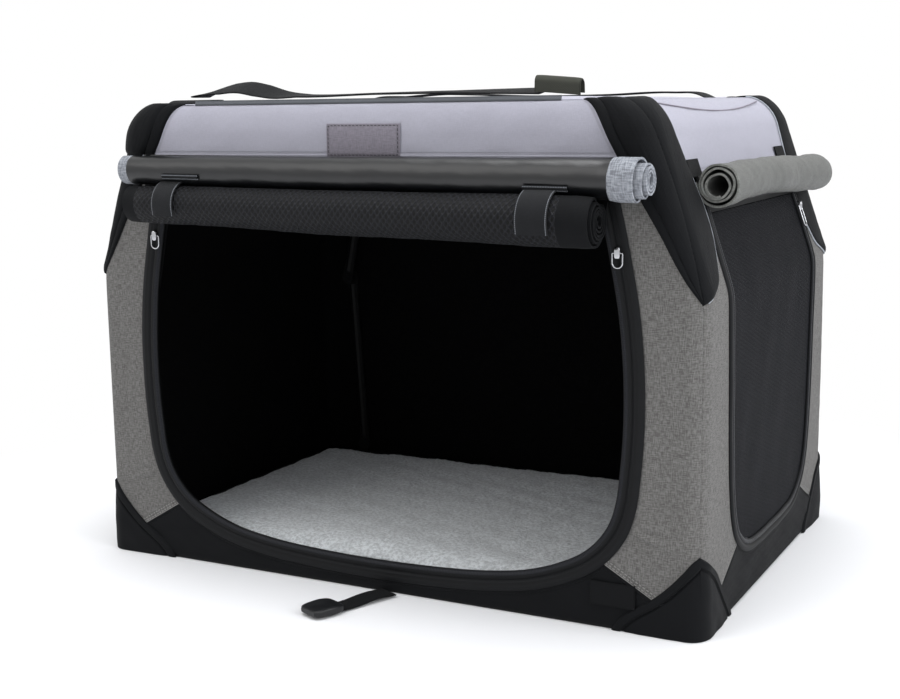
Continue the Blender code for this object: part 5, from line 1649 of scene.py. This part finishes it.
# Tabs above the side roll: name, first and last place along the wall, foot and top
TABS = (("near_tab", -0.178, -0.145, 0.432, 0.444), ("far_tab", 0.137, 0.172, 0.434, 0.446))


class CRATE_OT_trim(Operator):
    """Adds the bare patch, the hook patch and the roll's elastic tabs."""
    bl_idname = "crate.trim"
    bl_label = "Small trim"

    def execute(self, context):
        for settings in FLAT_PATCHES:
            flat_patch(*settings)
        for settings in TABS:
            tab(*settings)
        return {"FINISHED"}


def flat_patch(name, node, look, slot, lift):
    """Patch in the place of its node on the front wall, its edges turned down."""
    low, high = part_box(node)
    t, s = lattice(24, 40)
    along = low.x + (high.x - low.x) * s
    v = low.z + (min(high.z, 0.4800) - low.z) * t
    away = np.minimum(np.minimum(along - low.x, high.x - along), np.minimum(v - low.z, v[-1, 0] - v))
    grid = Cover().point(0, along, v, lift + 0.0009 * smooth_step(away / 0.0012))
    made = Cloth()
    made.shell(grid, pair(along, v), PANEL, pair(away, along + v))
    place(made.make(name, [look]), "base", [node])


def tab(name, first, last, foot, top):
    """Elastic tab that comes out of the right wall's seam above the side roll."""
    t, s = lattice(12, 24)
    along, v = first + (last - first) * s, foot - 0.004 + (top - foot + 0.004) * t
    away = np.minimum(np.minimum(along - first, last - along), v[-1, 0] - v)
    made = Cloth()
    made.shell(Cover().point(1, along, v, 0.0026), pair(along, v), TAPE, pair(away, along + v))
    place(made.make(name, ["strap"]), "base")


class CRATE_OT_zip_pulls(Operator):
    """Adds the sliders and their wire pulls."""
    bl_idname = "crate.zip_pulls"
    bl_label = "Zip pulls"

    def execute(self, context):
        for key, body, ring in (("front_left", "front_left_zip", "front_left_ring"),
                                ("front_right", "front_right_zip", "front_right_ring"),
                                ("side", "side_zip", "side_tab")):
            slider_piece(key, body)
            pull_piece(key, ring)
        return {"FINISHED"}


def slider_piece(key, body):
    """Slider: a rounded, squared-off block in the place of its node."""
    low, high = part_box(key + "_slider")
    centre = [(a + b) / 2 for a, b in zip(low, high)]
    size = [(b - a) / 2 for a, b in zip(low, high)]
    t, s = lattice(24, 33)
    turn, rise = 2 * math.pi * s, math.pi * (t - 0.5)
    ring = squared_off(np.cos(rise), 0.5)
    x = centre[0] + size[0] * ring * squared_off(np.cos(turn), 0.5)
    y = centre[1] + size[1] * ring * squared_off(np.sin(turn), 0.5)
    z = centre[2] + size[2] * squared_off(np.sin(rise), 0.6)
    made = Cloth()
    made.grid(np.stack([x, y, z], -1), pair(turn * 0.003, rise * 0.003))
    return place(made.make(key + "_slider_body", ["metal"]), body, [key + "_slider"])


# Radius of the wire that the pulls are bent from
WIRE = 0.0008


def pull_piece(key, body):
    """Pull: a D-shaped loop of wire that hangs from the slider, or a long loop on the end's zip."""
    low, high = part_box(key + "_pull")
    middle_x, middle_y = (low.x + high.x) / 2, (low.y + high.y) / 2
    top, foot = high.z - WIRE, low.z + WIRE
    wide = ((high.y - low.y) if key == "side" else (high.x - low.x)) / 2 - WIRE
    turn = np.linspace(0, math.pi, 40)
    arc = np.stack([wide * np.cos(turn), foot + wide - wide * np.sin(turn)], 1)
    bar = np.stack([np.linspace(-wide, wide, 14), np.full(14, top)], 1)
    down = even_line(np.array([[wide, top], [wide, foot + wide]]), 10)
    back = even_line(np.array([[-wide, foot + wide], [-wide, top]]), 10)
    loop = np.concatenate([bar[:-1], down[:-1], arc[:-1], back[:-1]])
    if key == "side":
        lean = (high.x - low.x - 2 * WIRE) / (top - foot)
        line = np.stack([high.x - WIRE - (loop[:, 1] - foot) * lean, middle_y + loop[:, 0], loop[:, 1]], 1)
    else:
        line = np.stack([middle_x + loop[:, 0], np.full(len(loop), middle_y), loop[:, 1]], 1)
    made = Cloth()
    add_tube(made, line, WIRE, 12, closed=True)
    return place(made.make(key + "_pull_wire", ["metal"]), body, [key + "_pull"])


class CRATE_OT_handles(Operator):
    """Adds the two webbing handles."""
    bl_idname = "crate.handles"
    bl_label = "Handles"

    def execute(self, context):
        front_handle()
        rear_handle()
        return {"FINISHED"}


# Front handle from its left end over its hump to its right end: place, then the half width as a vector
FRONT_HANDLE = np.array((
    (-0.2470, -0.1712, 0.5092, 0.0, 0.0180, 0.0), (-0.2400, -0.1712, 0.5112, 0.0, 0.0180, 0.0010),
    (-0.2290, -0.1712, 0.5142, 0.0, 0.0175, 0.0035), (-0.2100, -0.1712, 0.5170, 0.0, 0.0172, 0.0056),
    (-0.1888, -0.1712, 0.5183, 0.0, 0.0172, 0.0058), (-0.1662, -0.1712, 0.5146, 0.0, 0.0175, 0.0056),
    (-0.1426, -0.1712, 0.5097, 0.0, 0.0180, 0.0036), (-0.1117, -0.1712, 0.5082, 0.0, 0.0182, 0.0010),
    (-0.0194, -0.1712, 0.5092, 0.0, 0.0182, 0.0004), (0.0630, -0.1712, 0.5096, 0.0, 0.0182, 0.0010),
    (0.1654, -0.1712, 0.5092, 0.0, 0.0182, 0.0030)))
# Sewn-down root of the front handle: up over the roof's edge and in across the roof, under the webbing
FRONT_ROOT = np.array((
    (-0.232, -0.2262, 0.4975), (-0.232, -0.2250, 0.5010), (-0.232, -0.2205, 0.5036),
    (-0.232, -0.2050, 0.5045), (-0.232, -0.1750, 0.5050)))
# Folded-up right end of the front handle: place of its middle line, standing on the roof
FRONT_FOLD = np.array((
    (0.1851, -0.1888, 0.5065), (0.1851, -0.1886, 0.5120), (0.1851, -0.1876, 0.5185),
    (0.1851, -0.1838, 0.5214), (0.1851, -0.1795, 0.5188), (0.1851, -0.1782, 0.5120),
    (0.1851, -0.1780, 0.5085)))


def front_handle():
    """Front handle: webbing with a hump and a folded-up right end, its root and the strap along the edge."""
    made = Cloth()
    places = FRONT_HANDLE[:, :3]
    far = distances(places)
    at = np.linspace(0, far[-1], 240)
    across = np.stack([np.interp(at, far, FRONT_HANDLE[:, k]) for k in (3, 4, 5)], 1)
    flat_strap(made, smooth_line(places, 240), across, 0.0022)
    flat_strap(made, smooth_line(FRONT_FOLD, 90), np.tile((0.0238, 0.0, -0.0020), (90, 1)), 0.0024, 1)
    made = made.make("front_handle_webbing", ["webbing", "ribbed"])
    place(made, "front_carry_handle", ["front_handle"], False)
    sewn = Cloth()
    flat_strap(sewn, smooth_line(FRONT_ROOT, 80), np.tile((0.0185, 0.0, 0.0), (80, 1)), 0.0018)
    base = even_line(np.array(((-0.2125, -0.2262, 0.5022), (0.205, -0.2262, 0.5022))), 120)
    # This strap's bluish grey finish is a painted highlight on black webbing.
    flat_strap(sewn, base, np.tile((0.0, 0.0006, 0.0024), (120, 1)), 0.0016, 1)
    sewn = sewn.make("front_handle_edge_strap", ["webbing", "handle_edge_highlight"])
    return place(sewn, "top_frame", [], False)


# Rear handle from end to end: place along the edge, and rise over the roof's seam
REAR_RISE = np.array((
    (-0.2300, -0.0020), (-0.2200, 0.0030), (-0.1700, 0.0062), (-0.1300, 0.0085), (-0.0800, 0.0075),
    (0.0, 0.0045), (0.1000, 0.0045), (0.1800, 0.0062), (0.2150, 0.0035), (0.2250, -0.0010)))


def rear_handle():
    """Rear handle: webbing that lies nearly flat along the roof's far edge."""
    line = smooth_line(REAR_RISE, 200)
    path = np.stack([line[:, 0], 0 * line[:, 0] + 0.1706, sizes().height + 0.0012 + line[:, 1]], 1)
    made = Cloth()
    flat_strap(made, path, np.tile((0.0, 0.0190, 0.0), (200, 1)), 0.0022)
    made = made.make("rear_handle_webbing", ["webbing"])
    return place(made, "rear_carry_handle", ["rear_handle"], False)


class CRATE_OT_closures(Operator):
    """Adds the closure straps and the two halves of the buckle."""
    bl_idname = "crate.closures"
    bl_label = "Closures"

    def execute(self, context):
        closure("front", -0.40, 0.018)
        closure("rear", 0.0, 0.0)
        return {"FINISHED"}


def closure(key, skew, x):
    """Strap that comes out under the wall, and its half of the buckle: a socket in front, a plug behind."""
    front = key == "front"
    root = np.array([x, -0.2400 if front else 0.2400, 0.0020])
    heading = np.array([math.sin(skew), -math.cos(skew), 0.0]) if front else np.array([0.0, 1.0, 0.0])
    side = np.array([-heading[1], heading[0], 0.0])
    share = np.linspace(0, 1, 60)[:, None]
    line = root + heading * (0.070 * share) + np.array([0, 0, 1]) * (0.0016 * np.sin(share * 5))
    line[:, 2] = np.maximum(line[:, 2], 0.0016)
    strap = Cloth()
    flat_strap(strap, line, np.tile(side * 0.0125, (60, 1)), 0.0018)
    strap = strap.make(key + "_closure_strap", ["strap"])
    place(strap, key + "_closure", [key + "_strap"], False)
    start = root + heading * 0.0653
    buckle = Cloth()
    if front:
        rounded_block(buckle, start, heading, side, 0.0165, 0.036, 0.010, 0.42)
    else:
        rounded_block(buckle, start, heading, side, 0.0165, 0.020, 0.010, 0.0)
        for shift in (-0.0115, 0.0, 0.0115):
            prong = start + heading * 0.017 + side * shift
            rounded_block(buckle, prong, heading, side, 0.0024, 0.020, 0.0040, 0.0, 0.0033)
    buckle = buckle.make(key + "_buckle", ["plastic"])
    node = "front_buckle_socket" if front else "rear_buckle_plug"
    return place(buckle, key + "_closure", [node], False)


def rounded_block(made, start, heading, side, half, long, tall, waist, lift=0.0003):
    """Moulded block along a heading: a superellipse section whose width draws in at a waist."""
    rows, cols = 60, 48
    t = np.linspace(0, 1, rows)[:, None]
    turn = np.linspace(0, 2 * math.pi, cols)[None, :]
    level, rise = squared_off(np.cos(turn), 0.35), squared_off(np.sin(turn), 0.45)
    ends = hump(np.clip(t, 0.012, 0.988)) ** 0.25
    wide = half * ends * (1 - 0.10 * waist * np.exp(-((t - 0.62) / 0.16) ** 2))
    high = tall / 2 * (0.72 + 0.28 * hump(t)) * ends
    centre = start + heading * (long * t[..., None])
    grid = centre + side * (wide * level)[..., None] + np.array([0, 0, 1.0]) * (high * rise)[..., None]
    grid[..., 2] += lift + tall / 2 - start[2]
    first, last = [cut.mean(1, keepdims=True) + 0 * cut for cut in (grid[:1], grid[-1:])]
    made.grid(np.concatenate([first, grid, last]), pair(np.linspace(0, long, rows + 2)[:, None], turn * half))


class CRATE_OT_stage(Operator):
    """Sets the floor, the lamps, the world and the camera."""
    bl_idname = "crate.stage"
    bl_label = "Stage"

    def execute(self, context):
        add_floor()
        add_lamps()
        add_camera()
        return {"FINISHED"}


def add_floor():
    """Plain pale floor: the camera sees the object's shadow on it nearby, and white further away."""
    mesh = bpy.data.meshes.new("studio_floor")
    half, low = 12, -0.0006
    corners = [(-half, -half, low), (half, -half, low), (half, half, low), (-half, half, low)]
    mesh.from_pydata(corners, [], [(0, 1, 2, 3)])
    paint = Paint("studio_floor")
    paint.finish((0.86, 0.86, 0.87), 0.9, Specular_IOR_Level=0.1)
    seen = paint.node("ShaderNodeLightPath", output=0)
    flat = paint.node("ShaderNodeVectorMath", {"operation": "LENGTH"}, {0: paint.object_vector()}, 1)
    lit = paint.node("ShaderNodeEmission", inputs={"Color": (1.0, 1.0, 1.0), "Strength": 0.02})
    white = paint.node("ShaderNodeEmission", inputs={"Color": (1.0, 1.0, 1.0), "Strength": 1.0})
    plain = Val(paint, paint.shader.outputs[0])
    near = paint.node("ShaderNodeAddShader", inputs={0: plain, 1: lit})
    shown = paint.node("ShaderNodeMixShader", inputs={0: flat.ramp(0.46, 0.80), 1: near, 2: white})
    choice = paint.node("ShaderNodeMixShader", inputs={0: seen, 1: plain, 2: shown})
    paint.tree.links.new(choice.socket, paint.tree.nodes["Material Output"].inputs[0])
    mesh.materials.append(paint.material)
    floor = bpy.data.objects.new("studio_floor", mesh)
    bpy.context.scene.collection.objects.link(floor)


def add_lamps():
    """Soft daylight from all round, a key from the front left above and a cool one from the right."""
    scene = bpy.context.scene
    scene.view_settings.view_transform = "Standard"
    world = bpy.data.worlds.new("studio") if not scene.world else scene.world
    scene.world = world
    world.use_nodes = True
    nodes, links = world.node_tree.nodes, world.node_tree.links
    nodes.clear()
    path = nodes.new("ShaderNodeLightPath")
    dim, bright = nodes.new("ShaderNodeBackground"), nodes.new("ShaderNodeBackground")
    dim.inputs[0].default_value, dim.inputs[1].default_value = (0.93, 0.96, 1.0, 1.0), 0.55
    bright.inputs[0].default_value, bright.inputs[1].default_value = (1.0, 1.0, 1.0, 1.0), 1.0
    choice, output = nodes.new("ShaderNodeMixShader"), nodes.new("ShaderNodeOutputWorld")
    shown = None
    for output_name in ("Is Camera Ray", "Is Glossy Ray", "Is Transmission Ray"):
        both = nodes.new("ShaderNodeMath")
        both.operation = "MAXIMUM"
        links.new(path.outputs[output_name], both.inputs[0])
        if shown:
            links.new(shown, both.inputs[1])
        shown = both.outputs[0]
    links.new(shown, choice.inputs[0])
    links.new(dim.outputs[0], choice.inputs[1])
    links.new(bright.outputs[0], choice.inputs[2])
    links.new(choice.outputs[0], output.inputs[0])
    for name, spot, aim, power, size, tint in (
            ("key", (-1.6, -2.4, 2.6), (0, 0, 0.25), 25.0, 2.2, (1.0, 0.99, 0.98)),
            ("right", (2.8, -0.4, 1.6), (0.3, 0, 0.25), 46.0, 1.8, (0.95, 0.97, 1.0)),
            ("top", (0.1, -0.2, 2.8), (0, 0, 0.4), 50.0, 1.8, (0.97, 0.98, 1.0))):
        lamp = bpy.data.lights.new(name, "AREA")
        lamp.energy, lamp.size, lamp.color = power, size, tint
        item = bpy.data.objects.new(name, lamp)
        item.matrix_world = looking(spot, aim)
        scene.collection.objects.link(item)


def looking(spot, aim):
    """Matrix of a lamp or camera at one point that looks at another, level with the horizon."""
    away = np.subtract(spot, aim)
    away = away / np.linalg.norm(away)
    right = np.cross((0, 0, 1), away)
    right = right / np.linalg.norm(right)
    up = np.cross(away, right)
    return Matrix([[right[k], up[k], away[k], spot[k]] for k in range(3)] + [[0, 0, 0, 1]])


def add_camera():
    """Camera at the photograph's place: yaw, pitch and roll fitted to the crate's corners."""
    yaw, pitch, roll = math.radians(-27.471), math.radians(9.836), math.radians(-0.811)
    ahead = np.array([math.sin(yaw) * math.cos(pitch), math.cos(yaw) * math.cos(pitch), -math.sin(pitch)])
    level = np.array([math.cos(yaw), -math.sin(yaw), 0.0])
    rise = np.cross(level, ahead)
    right = level * math.cos(roll) + rise * math.sin(roll)
    up = -level * math.sin(roll) + rise * math.cos(roll)
    camera = bpy.data.objects.new("camera", bpy.data.cameras.new("camera"))
    camera.data.sensor_width, camera.data.lens = 36.0, 56.76
    spot = (0.7233, -1.4526, 0.4983)
    camera.matrix_world = Matrix([[right[k], up[k], -ahead[k], spot[k]] for k in range(3)] + [[0, 0, 0, 1]])
    bpy.context.scene.collection.objects.link(camera)
    bpy.context.scene.camera = camera


# The operators in the order in which they run
STEPS = (CRATE_OT_materials, CRATE_OT_cabin, CRATE_OT_mat, CRATE_OT_openings, CRATE_OT_walls,
         CRATE_OT_corners, CRATE_OT_roof, CRATE_OT_rolls, CRATE_OT_trim, CRATE_OT_zip_pulls,
         CRATE_OT_handles, CRATE_OT_closures, CRATE_OT_stage)


class CRATE_PT_panel(Panel):
    """Lists the crate's steps in the sidebar."""
    bl_label = "Dog Crate"
    bl_idname = "CRATE_PT_panel"
    bl_space_type = "VIEW_3D"
    bl_region_type = "UI"
    bl_category = "Crate"

    def draw(self, context):
        column = self.layout.column(align=True)
        for step in STEPS:
            column.operator(step.bl_idname)
        for group in (context.scene.crate_sizes, context.scene.crate_colours):
            box = self.layout.box()
            for key in group.__annotations__:
                box.prop(group, key)


CLASSES = (CrateSizes, CrateColours) + STEPS + (CRATE_PT_panel,)


def register():
    """Registers the classes and hangs the settings on the scene."""
    for item in CLASSES:
        bpy.utils.register_class(item)
    bpy.types.Scene.crate_sizes = PointerProperty(type=CrateSizes)
    bpy.types.Scene.crate_colours = PointerProperty(type=CrateColours)


def unregister():
    """Takes the settings and the classes away again."""
    del bpy.types.Scene.crate_colours
    del bpy.types.Scene.crate_sizes
    for item in reversed(CLASSES):
        bpy.utils.unregister_class(item)


def main():
    """Builds the crate step by step."""
    register()
    for step in STEPS:
        group, name = step.bl_idname.split(".")
        getattr(getattr(bpy.ops, group), name)()


if __name__ == "__main__":
    main()
